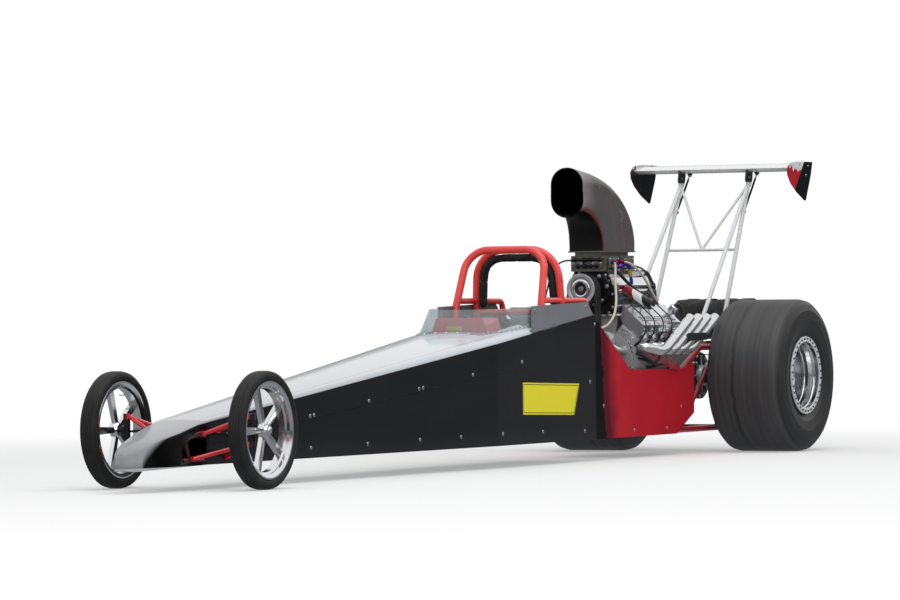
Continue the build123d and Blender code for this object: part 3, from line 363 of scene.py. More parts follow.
# engine bay panels: cloudy candy red, a torn dark maroon edge, then black where the cowl begins
bay_red = Finish("candy_red_paint", "#8c1424", 0.2, IOR=1.4, Specular_IOR_Level=0.06, Coat_Weight=0.08,
                 Coat_Roughness=0.04, Coat_IOR=1.3)
spot, x, y, z = bay_red.where()
torn = x - (z - 0.45) * 0.10 + (mottle(spot, 7.0, 5.0) - 0.5) * 0.14
base = blend(ramp(torn, at(1.52), at(1.66)), cloudy(spot, 4.0, "#a81d2b", "#c42833", 5.0), "#5e121f")
bay_red.tint(blend(ramp(torn, at(1.700), at(1.715)), base, "#0d0d0f")).on("rear_side_panels")

# flat grey with a thin black line along its foot
cowl_grey = Finish("grey_satin_paint", "#5d6064", 0.36, IOR=1.4, Specular_IOR_Level=0.2)
spot, x, y, z = cowl_grey.where()
edge = z - (0.798 - (x - at(1.82)) * 0.118)
cowl_grey.tint(blend(ramp(edge, 0.0035, 0.0025), cloudy(spot, 6.0, "#6e7176", "#7d8085"), "#0e0e0f"))
cowl_grey.on("cowl_panels")

# brushed across, so that highlights smear along the car
sheet_alloy = Finish("brushed_aluminium_sheet", "#b9bbbd", 0.42, 0.6)
grain = mottle(sheet_alloy.where()[0], 90.0, 3.0, (1.0, 1.0, 9.0))
sheet_alloy.tint(ramp(grain, -1.0, 2.0), "Roughness").tint(blend(grain, "#a6a8aa", "#c4c6c8"))
sheet_alloy.on("floor_pan", "firewall", "motor_plates")

# clear sheet that hazes toward its edges
clear_sheet = Finish("clear_polycarbonate", "#eef3f5", 0.06, IOR=1.45)
tree = clear_sheet.tree
pass_through = add(tree, "ShaderNodeBsdfTransparent", Color="#e4eaec").outputs[0]
haze = Signal(add(tree, "ShaderNodeLayerWeight", Blend=0.35).outputs["Facing"]) * 0.35
haze = haze + mottle(clear_sheet.where()[0], 5.0) * 0.12
tree.links.new(mixed(tree, haze, pass_through, clear_sheet.shader.outputs[0]), clear_sheet.last.inputs[0])
clear_sheet.on("windshield")

# ---- Roll cage and seat
# Bent steel tube in a salmon-red gloss coat, a red dash painted pale as painted light, a grey
# aluminium seat, and dull black vinyl under the soft pieces.
gloss("salmon_red_coat", "#e2433f", 0.28, clouds=(8.0, "#d93c3a", "#e84e48")).on("roll_cage")
# painted light: the red dash is painted pale salmon so that it reads as lit behind the screen
gloss("red_paint_lightened_as_painted_light", "#f0666a", 0.3, clouds=(6.0, "#f0666a", "#f58488")).on("dash_panel")
Finish("black_padding_vinyl", "#151516", 0.62, grain=(260.0, 3.0, 0.0006),
       Specular_IOR_Level=0.3).on("cage_padding", "seat_cushions", "parachute_packs")
bucket_grey = Finish("grey_coated_aluminium", "#3c3e41", 0.42, 0.2, (18.0, "#36383b", "#46484b"))
bucket_grey.on("seat", "steering_wheel")

# ---- Wheels
# Polished aluminium rims with slight smears, treadless rubber at the rear and
# ribbed rubber in front.
rear_wheel_z = 0.436
front_station, front_y, front_wheel_z = 5.794, 0.405, 0.283


def reach(dx, dz):
    """Distance sqrt(dx ** 2 + dz ** 2)."""
    return root(dx * dx + dz * dz)


polished = Finish("polished_aluminium", "#dcdddf", 0.11, 1.0)
polished.tint(ramp(mottle(polished.where()[0], 30.0), -1.2, 9.0), "Roughness")
polished.on("front_rim_left", "front_rim_right", "rear_rim_left", "rear_rim_right", "valve_covers", "blower")

# slick: lines scrubbed round the tread, darker and smoother walls; the pattern turns with the wheel
rubber = Finish("slick_tyre_rubber", "#1c1c1d", 0.6, Specular_IOR_Level=0.5)
spot, x, y, z = rubber.where()
dx, dz = x - at(0), z - rear_wheel_z
wander = (mottle(spot, 11.0, 6.0) - 0.5) * 0.016
rolled = add(rubber.tree, "ShaderNodeCombineXYZ", _0=abs(y) * 30.0 + wander, _1=dx * 0.9,
             _2=dz * 0.9).outputs[0]
lines = Signal(add(rubber.tree, "ShaderNodeTexNoise", Vector=rolled, Scale=1.6, Detail=7.0,
                   Roughness=0.65).outputs[0])
tread = blend(ramp(lines, 0.30, 0.72), "#2b2b2d", "#424244")
tread = blend(band(abs(y) + wander * 2.6, 0.486, 0.502, 0.007) * 0.9, tread, "#101011")
wall = blend(ramp(mottle(spot, 5.0, 5.0), 0.3, 0.8), "#1a1a1b", "#272728")
on_tread = ramp(reach(dx, dz), 0.412, 0.424)
rubber.tint(blend(on_tread, wall, tread)).tint(on_tread * 0.12 + 0.44, "Roughness")
rubber.bump(lines, 0.0006).on("rear_tyre_left", "rear_tyre_right")

# front: four fine grooves moulded round a narrow, matt tread
front_rubber = Finish("ribbed_tyre_rubber", "#1e1e1f", 0.62, Specular_IOR_Level=0.22)
spot, x, y, z = front_rubber.where()
off = abs(abs(y) - front_y)
radius = reach(x - at(front_station), z - front_wheel_z)
grooves = most(band(off, 0.0065, 0.0085, 0.0005), band(off, 0.0205, 0.0225, 0.0005))
ring = band(radius, 0.2525, 0.2545, 0.0005) * ramp(off, 0.035, 0.037)
shaded_grooves = most(grooves * ramp(radius, 0.268, 0.272), ring)
worn = blend(ramp(mottle(spot, 14.0, 5.0), 0.3, 0.75), "#1e1e1f", "#2b2b2c")
# painted shade: the grooves and the sidewall ring are darker than the rubber around them
front_rubber.tint(blend(shaded_grooves, worn, "#111112")).bump(1.0 - shaded_grooves, 0.0015)
front_rubber.on("front_tyre_left", "front_tyre_right")

# ---- Engine
# Sand-cast aluminium with a dull sparkle, dark painted iron, ceramic-coated
# pipes with a white shine, and a matt toothed belt.
cast_alloy = Finish("sand_cast_aluminium", "#b4b6b8", 0.45, 0.6, (20.0, "#9ea0a2", "#c2c4c6"),
                    (500.0, 2.0, 0.0003))
cast_alloy.on("steering_rack", "brake_calipers", "cylinder_heads", "gearbox", "intake_manifold")
Finish("dark_painted_cast_iron", "#2b2c2e", 0.5, 0.3, (16.0, "#232426", "#37383a"),
       (400.0, 2.0, 0.0004)).on("engine_block", "rear_axle", "header_straps")
Finish("polished_ceramic_coating", "#d9dadb", 0.2, 0.85, (14.0, "#c9cacb", "#e4e5e6")).on("headers")
Finish("braided_cream_hose", "#bdb9b0", 0.5, 0.2).on("fuel_hoses")
belt_rubber = Finish("toothed_belt_rubber", "#131314", 0.6)
spot, x, y, z = belt_rubber.where()
teeth = wave((z + y) * 480.0)
# the colour follows the teeth, darker in the gaps between them: painted shade
belt_rubber.bump(teeth, 0.0006).tint(blend(ramp(teeth, -0.6, 0.6), "#0f0f10", "#1a1a1b")).on("drive_belt")

# air scoop: black front and back, charcoal satin flanks with a red pinstripe on the crease and fine
# airbrushed lines that wander over them: bands where a noise passes through a set value. Radius is
# taken about the inside of the bend, where the duct's sections meet.
scoop_paint = Finish("charcoal_scoop_paint", "#3a3638", 0.34, grain=(800.0, 2.0, 0.0001),
                     Specular_IOR_Level=0.22,
                     Coat_Weight=0.06)
spot, x, y, z = scoop_paint.where()
normal = scoop_paint.facing()
run_x, run_z, middle = at(1.478) - x, z - 1.205, 0.275
radius = reach(run_x, run_z)
spread = (radius - middle) / radius
outward = normal[2] * (run_z * spread) - normal[0] * (run_x * spread) + normal[1] * y
wander = radius + (mottle(spot, 11.0, 7.0) - 0.5) * 0.16
base = blend(ramp(x, at(1.40), at(1.56)), cloudy(spot, 5.0, "#484446", "#5c5759"), "#858183")
for level, colour, share in ((0.415, "#c9a06a", 0.75), (0.375, "#8f3a40", 0.8), (0.330, "#a9824f", 0.6),
                             (0.285, "#6f2f36", 0.6)):
    base = blend(band(wander, level - 0.0011, level + 0.0011, 0.0009) * share, base, colour)
sideways, inside = abs(normal[1]), middle - radius
base = blend(band(sideways, 0.55, 0.80, 0.08) * ramp(inside, -0.01, 0.0) * 0.8, base, "#7a2430")
base = blend((1.0 - ramp(sideways, 0.50, 0.62)) * ramp(inside, -0.02, 0.0), base, "#0e0e0f")
# faces turned toward the duct's middle line, the inside of the mouth, are near black: painted shade in the
# duct
scoop_paint.tint(blend(ramp(outward, 0.0, 0.004), "#040404", base)).on("air_scoop")

# coil canister: glossy red top, blank white band, black foot, by distance from its upper end
coil_red = gloss("red_moulded_plastic", "#7c1622", 0.3)
down = (coil_red.where()[2] - 0.172) / 0.116
base = blend(ramp(down, 0.40, 0.41), "#7c1622", "#d9d9d6")
coil_red.tint(blend(ramp(down, 0.76, 0.77), base, "#151516")).on("ignition_coil")

# ---- Wing
# White gloss paint, painted darker and warmer below as painted shade; white powder coat on the
# struts with black brackets; end plates in poured colours.
wing_white = gloss("white_gloss_paint", "#dcdddf", 0.2)
# painted shade: below about z 1.63 the white turns to a darker warm grey
wing_white.tint(blend(ramp(wing_white.where()[3], 1.632, 1.624), "#e2e3e4", "#b9b5ab")).on("wing_element")
strut_white = gloss("white_powder_coat", "#d3d5d8", 0.3)
spot, x, y, z = strut_white.where()
strut_white.tint(blend(ramp(z, 1.562, 1.563), cloudy(spot, 10.0, "#c9cbce", "#dfe0e2"), "#17181a"))
strut_white.on("wing_struts")

# end plates: white that runs down in drips over red, black behind a raked line; black inner faces
plate_paint = Finish("dripped_two_colour_paint", "#a01c28", 0.2, IOR=1.45, Specular_IOR_Level=0.2,
                     Coat_Weight=0.2, Coat_Roughness=0.04)
spot, x, y, z = plate_paint.where()
columns = mottle(spot, 22.0, 2.0, (1.0, 0.0, 0.05))
edge = z + columns * 0.13
body = blend(ramp(edge, 1.703, 1.706), cloudy(spot, 12.0, "#a81a26", "#c22833"), "#dcdddf")
raked = x + columns * 0.012 + (z - 1.73) * 0.85
body = blend(ramp(raked, at(-0.668), at(-0.671)), body, "#0c0c0d")
dark = blend(ramp(edge + columns * 0.05, 1.742, 1.745), "#101012", "#cfd0d2")
plate_paint.tint(blend(ramp(plate_paint.facing()[1] * y, -0.10, -0.20), body, dark)).on("wing_end_plates")

# ---- Panel fasteners
# Quarter-turn buttons of zinc-plated steel, each with a slot, in rows below the
# seam and along the floor, on both flanks. Every piece from here on is modelled
# in stations, and whole() moves it to the shared frame.


def skin(rings, closed=False):
    """Points and quads between neighbouring rings of points; closed joins the last ring to the first."""
    rows, cols = rings.shape[:2]
    r, c = np.arange(rows if closed else rows - 1)[:, None], np.arange(cols)
    r_next, c_next = (r + 1) % rows, (c + 1) % cols
    quads = np.stack([r * cols + c, r * cols + c_next, r_next * cols + c_next, r_next * cols + c], -1)
    return rings.reshape(-1, 3), quads.reshape(-1, 4)


def capped(rings):
    """The rings with one more at each end, drawn to a point at its middle."""
    first, last = (rings[k:k + 1 or None] * 0 + rings[k].mean(0) for k in (0, -1))
    return np.concatenate([first, rings, last])


def unit(v):
    """A vector or rows of vectors, each divided by its length."""
    return np.asarray(v, float) / np.linalg.norm(v, axis=-1, keepdims=True)


def lathe(profile, start, axis, steps=48, bore=False):
    """Rings start + along * axis + radius * (cos t * side + sin t * over), one for each (along, radius).

    The profile is closed to the axis at both ends, unless it ends where it starts or leaves a bore.
    """
    profile = np.array(profile, float)
    if not (bore or np.allclose(profile[0], profile[-1])):
        profile = np.concatenate([profile[:1] * (1, 0), profile, profile[-1:] * (1, 0)])
    axis = unit(axis)
    side = unit(np.cross((0, 0, 1) if abs(axis[2]) < 0.9 else (1, 0, 0), axis))
    t = np.linspace(0, 2 * np.pi, steps, endpoint=False)[:, None]
    along, radius = profile.T[:, :, None, None]
    ring = np.cos(t) * side + np.sin(t) * np.cross(axis, side)
    return skin(np.array(start) + along * axis + radius * ring)


def rod(spot, axis, low, high, radius, steps):
    """A plain cylinder from low to high along its axis."""
    return lathe([(low, radius), (high, radius)], spot, axis, steps)


def carry(outline, path, sideways, closed=False):
    """Outlines (across, up) carried along a path: point = path + across * side + up * (tangent x side)."""
    tangent = unit(np.roll(path, -1, 0) - np.roll(path, 1, 0)) if closed else unit(np.gradient(path, axis=0))
    side = unit(np.array(sideways) - (tangent @ sideways)[:, None] * tangent)
    over = np.cross(tangent, side)
    rings = path[:, None] + outline[..., :1] * side[:, None] + outline[..., 1:] * over[:, None]
    return skin(rings if closed else capped(rings), closed)


def circle(radius, steps):
    """Outline of a round bar: radius * (cos t, sin t)."""
    t = np.linspace(0, 2 * np.pi, steps, endpoint=False)
    return radius * np.stack([np.cos(t), np.sin(t)], -1)


def flat_oval(width, thick):
    """Outline of a strap: a rectangle whose corners are rounded to half its thickness."""
    t = np.linspace(-np.pi / 2, np.pi / 2, 6)
    end = thick / 2 * np.stack([np.cos(t), np.sin(t)], -1) + (width / 2 - thick / 2, 0)
    return np.concatenate([end, -end])


def slab(centre, size, rounding, axes=np.eye(3)):
    """A box with rounded edges: sign * (half - r) + r * n over the directions n of a sphere."""
    half = np.array(size) / 2
    r = min(rounding, half.min() * 0.98)
    quarter = np.linspace(0, np.pi / 2, 3)
    u = np.concatenate([quarter + k * np.pi / 2 for k in range(4)])
    v = np.concatenate([quarter - np.pi / 2, quarter])[:, None]
    n = np.stack(np.broadcast_arrays(np.cos(v) * np.cos(u), np.cos(v) * np.sin(u), np.sin(v)), -1)
    sx, sy, sz = np.repeat([1, -1, -1, 1], 3), np.repeat([1, 1, -1, -1], 3), np.repeat([-1, 1], 3)[:, None]
    sign = np.stack(np.broadcast_arrays(sx, sy, sz), -1)
    return skin(capped(sign * (half - r) + r * n) @ np.array(axes) + np.array(centre))


def both_sides(parts):
    """The parts and their copies with y turned to -y, whose quads are turned over to face out."""
    return parts + [(points * (1, -1, 1), quads[:, ::-1]) for points, quads in parts]


def whole(name, parts):
    """One linked object of the parts, at the origin, its doubles merged and its normals turned out."""
    shift = np.cumsum([0] + [len(points) for points, quads in parts])
    points = np.concatenate([points for points, quads in parts]) + (axle_shift, 0, 0)
    quads = np.concatenate([part[1] + s for part, s in zip(parts, shift)])
    mesh = bpy.data.meshes.new(name)
    mesh.from_pydata(points.tolist(), [], quads.tolist())
    shape = bmesh.new()
    shape.from_mesh(mesh)
    bmesh.ops.remove_doubles(shape, verts=shape.verts, dist=1e-6)
    bmesh.ops.dissolve_degenerate(shape, edges=shape.edges, dist=1e-7)
    bmesh.ops.recalc_face_normals(shape, faces=shape.faces)
    shape.to_mesh(mesh)
    shape.free()
    piece = bpy.data.objects.new(name, mesh)
    bpy.context.scene.collection.objects.link(piece)
    return piece


def build(name, parts, finish, body="chassis"):
    """One piece that rides a body, smooth but for edges over 38 degrees."""
    piece = whole(name, parts)
    piece.data.polygons.foreach_set("use_smooth", np.ones(len(piece.data.polygons), bool))
    piece.data.set_sharp_from_angle(angle=math.radians(38))
    piece.data.materials.append(finish.made)
    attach(piece, body)
    return piece


def stations(corners):
    """Shared-frame corners with their x as a station."""
    return np.array(corners) - (axle_shift, 0, 0)


def body_half(station):
    """Half width of the body: 280 mm, less 50 mm for each metre forward of the third metre."""
    return 0.280 - 0.05 * np.maximum(0.0, station - 3.0)


def deck_edge(station):
    """Height of the deck's edge, which falls 118 mm a metre."""
    return 0.798 - 0.118 * (station - 1.82)


def bolt(spot, axis, radius=0.006, height=0.005):
    """Hex-headed bolt on a washer: two turned profiles, the head's with six steps."""
    top = height + radius * 0.15
    washer = lathe([(-0.001, radius * 1.55), (0.0012, radius * 1.5)], spot, axis, 20)
    return [washer, lathe([(0.001, radius), (height, radius), (top, radius * 0.82)], spot, axis, 6)]


def spots_round(middle, axis, radius, angles):
    """Points round an axis along x or y: middle + radius * (cos a across it, sin a up)."""
    cos, sin = np.cos(angles)[:, None], np.sin(angles)[:, None]
    return np.array(middle) + radius * (cos * (abs(axis[1]), abs(axis[0]), 0) + sin * (0, 0, 1))


button = [(-0.001, 0.0105), (0.0012, 0.0102), (0.0026, 0.0085), (0.0031, 0.0065)]
dzus_rows = [(4.915, 0.327), (4.877, 0.331), (4.343, 0.388), (3.839, 0.438), (3.798, 0.442), (3.276, 0.499),
             (2.72, 0.557), (4.909, 0.170), (4.36, 0.173), (3.835, 0.177), (3.409, 0.180), (2.957, 0.182),
             (2.472, 0.179), (1.946, 0.169), (1.875, 0.434), (2.611, 0.725), (2.558, 0.828), (1.92, 0.845),
             (1.806, 0.748), (0.66, 0.273), (1.30, 0.155), (0.86, 0.155), (1.70, 0.300)]
buttons = [lathe(button, (s, body_half(s), z), (0, 1, 0), 20) for s, z in dzus_rows]
slots = [slab((s, body_half(s) + 0.0029, z), (0.0022, 0.001, 0.013), 0.0004) for s, z in dzus_rows]
zinc = Finish("zinc_plated_steel", "#c4c6c8", 0.3, 1.0)  # a pale, soft metal shine
build("panel_fasteners", both_sides(buttons), zinc)
dark_slot = Finish("shadowed_slot", "#1a1a1b", 0.7)  # reads as depth
build("fastener_slots", both_sides(slots), dark_slot)

# ---- Windshield hardware
# Pop rivets of zinc-plated steel in a row where the clear sheet lies on the deck,
# and a dark rubber strip with four bolts at each rear edge.


def deck_rise(station, y):
    """Height of the crowned deck above its edge line: shoulder plus crown * (1 - (y / flat) ** 2)."""
    share = (station - 2.6) / 3.27
    shoulder = 0.040 - 0.031 * share
    crown = 0.025 - 0.020 * share
    flat = body_half(station) - shoulder
    return shoulder + crown * (1 - np.minimum(1.0, y / flat) ** 2)


def screen_side(u):
    """Points of the sheet's side on the deck: its base edge moved v of the way to its top edge."""
    rear = u < 0
    v = np.zeros(len(u))
    for _ in range(12):
        x = np.where(rear, 2.80 + 0.28 * u, 2.80 + u * (0.290 - 0.154 * v))
        y = np.where(rear, 0.256 - 0.021 * u - v * (0.024 + 0.015 * u),
                     0.256 - 0.068 * u - v * (0.024 + 0.004 * u))
        low = deck_edge(x) + 0.004
        high = 0.848 + 0.028 * (2.575 - x)
        v = np.clip((deck_edge(x) + deck_rise(x, y) + 0.007 - low) / (high - low), 0, 1)
    return np.stack([x, y, low + v * (high - low)], -1)


rivet = [(-0.0006, 0.0056), (0.001, 0.0052), (0.0026, 0.003), (0.003, 0.0)]
side_spots = screen_side(np.linspace(-0.66, 0.97, 12)) + (0.0, 0.0012, 0.0)
foot = 3.055
front_spots = [(foot, y, deck_edge(foot) + deck_rise(foot, y) + 0.008) for y in np.linspace(-0.13, 0.13, 5)]
build("screen_rivets", both_sides([lathe(rivet, spot, (0.15, 0.97, 0.15), 12) for spot in side_spots])
      + [lathe(rivet, spot, (0.7, 0, 0.7), 12) for spot in front_spots], zinc)
strip_low, strip_high = np.array([(2.586, 0.2765, 0.742), (2.586, 0.2695, 0.846)])
path = strip_low + np.linspace(0, 1, 6)[:, None] * (strip_high - strip_low)
rubber_strip = Finish("black_edge_rubber", "#161617", 0.6)  # dull black line
build("screen_edge_strips", both_sides([carry(flat_oval(0.014, 0.003), path, (1, 0, 0))]), rubber_strip)
parts = []
for t in (0.1, 0.37, 0.64, 0.9):
    parts += bolt(strip_low + t * (strip_high - strip_low) + (0, 0.0016, 0), (0, 1, 0.07), 0.0038, 0.003)
build("screen_edge_bolts", both_sides(parts), zinc)

# ---- Front wheels' hubs
# Polished spindle caps with five bolts round each, and a valve stem in each rim.
cap = [(0.028, 0.0215), (0.036, 0.0215), (0.041, 0.017), (0.044, 0.008)]
stem = [(0, 0.004), (0.022, 0.0035), (0.024, 0.0045), (0.032, 0.0045), (0.033, 0.0)]
for sign, side in ((1, "left"), (-1, "right")):
    axis = (0, sign, 0)
    centre = np.array([front_station, sign * front_y, front_wheel_z])
    parts = [lathe(cap, centre, axis, 6)]
    for spot in spots_round(centre + (0, sign * 0.020, 0), axis, 0.029, np.radians(126 + 72 * np.arange(5))):
        parts += bolt(spot, axis, 0.0042, 0.004)
    parts.append(lathe(stem, spots_round(centre + (0, sign * 0.018, 0), axis, 0.205, np.array([2.2]))[0],
                       axis, 12))
    build(f"front_hub_cap_{side}", parts, polished, f"front_wheel_{side}")

# ---- Supercharger trim
# Dark machined end plates, a bolted base flange and a polished drive nose, all
# aluminium, held by plated bolts. The pulleys' faces follow.


def rounded(corners, radius, steps=4):
    """Outline with an arc for each corner: (1 - t)^2 * start + 2 t (1 - t) * corner + t^2 * end."""
    corners = np.asarray(corners, float)
    run_in, run_out = np.roll(corners, 1, 0) - corners, np.roll(corners, -1, 0) - corners
    cut = np.minimum(radius, 0.48 * np.minimum(np.linalg.norm(run_in, axis=1),
                                               np.linalg.norm(run_out, axis=1)))
    start = corners + unit(run_in) * cut[:, None]
    end = corners + unit(run_out) * cut[:, None]
    t = np.linspace(0, 1, steps)[None, :, None]
    arcs = (1 - t) ** 2 * start[:, None] + 2 * t * (1 - t) * corners[:, None] + t ** 2 * end[:, None]
    return arcs.reshape(-1, 2)


def plate_across(outline, x0, x1, edge=0.0015):
    """An outline in y and z as a plate from x0 to x1, its edges eased by a small chamfer."""
    middle = outline.mean(0)
    small = middle + (outline - middle) * (1 - edge / np.abs(outline - middle).max())
    rows = [(x0, small), (x0 + edge, outline), (x1 - edge, outline), (x1, small)]
    rings = capped(np.array([np.column_stack([np.full(len(o), x), o]) for x, o in rows]))
    rings[[0, -1], :, 1:] = middle
    return skin(rings)


ahead = (1, 0, 0)
blower_z, crank_z = 0.942, 0.355
front_x, rear_x, plate_thick = 1.250, 0.705, 0.012
case_half = np.array([(0.145, 0.796), (0.153, 0.850), (0.146, 0.932), (0.116, 1.012), (0.092, 1.047)])
case_outline = rounded(np.concatenate([case_half, case_half[::-1] * (-1, 1)]), 0.02)
dark_metal = Finish("black_anodised_aluminium", "#2a2b2d", 0.34, 0.8)  # dark with a metal sheen
build("blower_end_plates", [plate_across(case_outline, front_x, front_x + plate_thick),
                            plate_across(case_outline, rear_x - plate_thick, rear_x)], dark_metal)
bolts = []
for y, z in case_outline[::4]:
    y, z = y * 0.9, z + (0.92 - z) * 0.1
    bolts += bolt((front_x + plate_thick, y, z), ahead) + bolt((rear_x - plate_thick, y, z), (-1, 0, 0))
for k in range(9):
    bolts += both_sides(bolt((0.722 + 0.064 * k, 0.151, 0.799), (0, 0, 1), 0.0055, 0.007))
for spot in spots_round((front_x + 0.022, 0, blower_z), ahead, 0.088, np.radians(22.5 + 45 * np.arange(8))):
    bolts += bolt(spot, ahead, 0.005)
nose = [(0.0, 0.02), (0.0, 0.098), (0.010, 0.098), (0.014, 0.088), (0.020, 0.070), (0.040, 0.062),
        (0.046, 0.055),
        (0.046, 0.02)]
build("blower_base_flange", [slab((0.978, 0, 0.794), (0.57, 0.318, 0.010), 0.003),
                             lathe(nose, (front_x + plate_thick, 0, blower_z), ahead, 64,
                                   bore=True)], polished)
build("blower_bolts", bolts, zinc)

# drive pulleys: a bright ring round a dark bearing, then a dark flange beside the belt
pulley_front = 1.388
upper_pulley, lower_pulley = (pulley_front, 0, blower_z), (pulley_front, 0, crank_z)
dish = [(-0.050, 0.030), (-0.006, 0.033), (0.004, 0.036), (0.0055, 0.040), (0.0055, 0.050), (0.003, 0.0545),
        (-0.012, 0.056)]
crank_dish = [(-0.030, 0.040), (-0.004, 0.066), (0.005, 0.074), (0.005, 0.088), (0.001, 0.094),
              (-0.003, 0.094),
              (-0.003, 0.06), (-0.032, 0.04)]
build("pulley_faces", [lathe(dish, upper_pulley, ahead, 64), lathe(crank_dish, lower_pulley, ahead, 64)],
      polished)
flange = [(0.0003, 0.064), (0.0003, 0.084), (0.0024, 0.086), (0.005, 0.084), (0.005, 0.072), (0.003, 0.067),
          (0.0003, 0.064)]
build("pulley_flanges", [lathe(flange, upper_pulley, ahead, 64)], sheet_alloy)
lip = [(-0.004, 0.0285), (0.018, 0.0285), (0.020, 0.024), (0.016, 0.019), (0.004, 0.0165)]
build("pulley_hub", [lathe(lip, (pulley_front - 0.046, 0, blower_z), ahead, 48)], dark_metal)
well = [(-0.016, 0.033), (-0.004, 0.0336), (-0.006, 0.030), (-0.010, 0.020)]
build("pulley_well", [lathe(well, upper_pulley, ahead)], dark_slot)
cone = [(-0.012, 0.019), (-0.004, 0.017), (0.002, 0.013), (0.003, 0.0095), (-0.002, 0.007)]
build("pulley_nut", [lathe(cone, upper_pulley, ahead, 32)], bare_steel)
hub = [(-0.051, 0.026), (-0.040, 0.026), (-0.036, 0.020)]
build("pulley_bearings", [lathe(hub, upper_pulley, ahead, 32),
                          lathe(hub, (pulley_front + 0.020, 0, crank_z), ahead, 32)], dark_metal)
bolts = []
for spot in spots_round((pulley_front - 0.040, 0, blower_z), ahead, 0.021, np.radians(60 * np.arange(6))):
    bolts += bolt(spot, ahead, 0.0035)
build("pulley_bolts", bolts, zinc)

# ---- Carburettors
# Grey chromate castings with float bowls on each side and screws in the bowls,
# polished throttle rods, black fuel logs in front, anodised hose ends.
carb_grey = Finish("grey_chromate_casting", "#6b6a64", 0.42, 0.75, (30.0, "#5a5952", "#85847b"),
                   (700.0, 2.0, 0.0002))  # dull olive grey
carb_grey.on("carburettors")
bowls, rods, screws, logs = [], [], [], []
for x0 in (0.9975, 1.1975):
    bowls += both_sides([slab((x0, 0.1125, 1.086), (0.120, 0.015, 0.060), 0.005),
                         slab((x0 + 0.02, 0.121, 1.080), (0.040, 0.010, 0.022), 0.004)])
    for dx, dz in ((-0.052, 0.024), (0.052, 0.024), (-0.052, -0.024), (0.052, -0.024)):
        screws += both_sides(bolt((x0 + dx, 0.120, 1.086 + dz), (0, 1, 0), 0.0038, 0.003))
    for dx in (-0.040, 0.040):
        rods.append(rod((x0 + dx, -0.129, 1.050), (0, 1, 0), 0, 0.258, 0.004, 12))
        rods.append(slab((x0 + dx, 0.131, 1.056), (0.010, 0.004, 0.034), 0.0015))
rods.append(rod((0.95, 0.134, 1.070), ahead, 0, 0.300, 0.0035, 12))
for z0, r, half in ((1.106, 0.0085, 0.092), (1.070, 0.006, 0.070)):
    logs.append(lathe([(0, r), (2 * half, r), (2 * half + 0.003, r * 0.8)], (1.305, -half, z0), (0, 1, 0),
                      24))
    for share in (-0.8, -0.25, 0.3, 0.85):
        logs.append(slab((1.298, half * share, z0), (0.020, 0.016, 0.026), 0.003))
for y0 in (-0.062, 0.058):
    bowls.append(slab((1.296, y0, 1.088), (0.012, 0.070, 0.062), 0.004))
    screws += bolt((1.302, y0 - 0.024, 1.086), ahead, 0.0045)
    screws += bolt((1.302, y0 + 0.024, 1.086), ahead, 0.0045)
build("fuel_logs", logs, dark_metal)
build("carburettor_bowls", bowls, carb_grey)
build("throttle_rods", rods, polished)
build("carburettor_screws", screws, zinc)
blue_anodised = Finish("blue_anodised_aluminium", "#2b3f9e", 0.28, 0.9)  # coloured metal glints
red_anodised = Finish("red_anodised_aluminium", "#a3202c", 0.28, 0.9)
hose_r = 0.0088
nut = [(0, hose_r * 1.35), (0.014, hose_r * 1.35), (0.015, hose_r * 1.2)]
sleeve = [(0.014, hose_r * 1.15), (0.034, hose_r * 1.15), (0.036, hose_r)]
hose_ends = [(1.230, 0.120, 1.090), (1.150, 0.120, 1.095), (0.760, 0.1425, 0.871)]
build("hose_nuts", [lathe(nut, spot, (0, 1, 0), 6) for spot in hose_ends], blue_anodised)
build("hose_sleeves", [lathe(sleeve, spot, (0, 1, 0), 20) for spot in hose_ends], red_anodised)

# ---- Valve covers and ignition
# Polished ribs and breathers with plated bolts along the covers' rails; leads are
# 7 mm silicone from a magneto behind the supercharger, with moulded boots.
ribs, heads = [], []
slope = np.array([[1, 0, 0], [0, -0.75, 0.66], [0, 0.66, 0.75]])
for offset in (-0.014, 0.0, 0.014):
    ribs.append(slab((0.94, 0.258, 0.775) + offset * slope[1], (0.46, 0.006, 0.008), 0.0025, slope))
for x0 in np.linspace(0.690, 1.190, 6):
    heads += bolt((x0, 0.2995, 0.712), (0, 0.99, 0), 0.005)
    heads += bolt((x0, 0.151, 0.806), (0, -0.97, 0.2), 0.005)
breather = [(0, 0.016), (0.022, 0.016), (0.022, 0.026), (0.060, 0.026), (0.064, 0.022)]
ribs.append(lathe(breather, (0.72, 0.232, 0.792), (0, 0.66, 0.75), 32))
build("valve_cover_ribs", both_sides(ribs), polished)
build("valve_cover_bolts", both_sides(heads), zinc)


def smooth_path(points, count=40):
    """Quadratic B-spline through the middles of a given route, straight at its ends."""
    points = np.asarray(points, float)
    knots = np.concatenate([points[:1], (points[1:] + points[:-1]) / 2, points[-1:]])
    t = np.linspace(0, 1, max(3, count // len(points)), endpoint=False)[None, :, None]
    mids, corners = knots[1:-1], points[1:-1]
    curve = (1 - t) ** 2 * mids[:-1, None] + 2 * t * (1 - t) * corners[:, None] + t ** 2 * mids[1:, None]
    return np.concatenate([points[:1], curve.reshape(-1, 3), mids[-1:], points[-1:]])


def tube(points, radius, sides=16, count=40, sideways=(0.02, 0.9, 0.3)):
    """A round tube along the smoothed route."""
    return carry(circle(radius, sides), smooth_path(points, count), sideways)


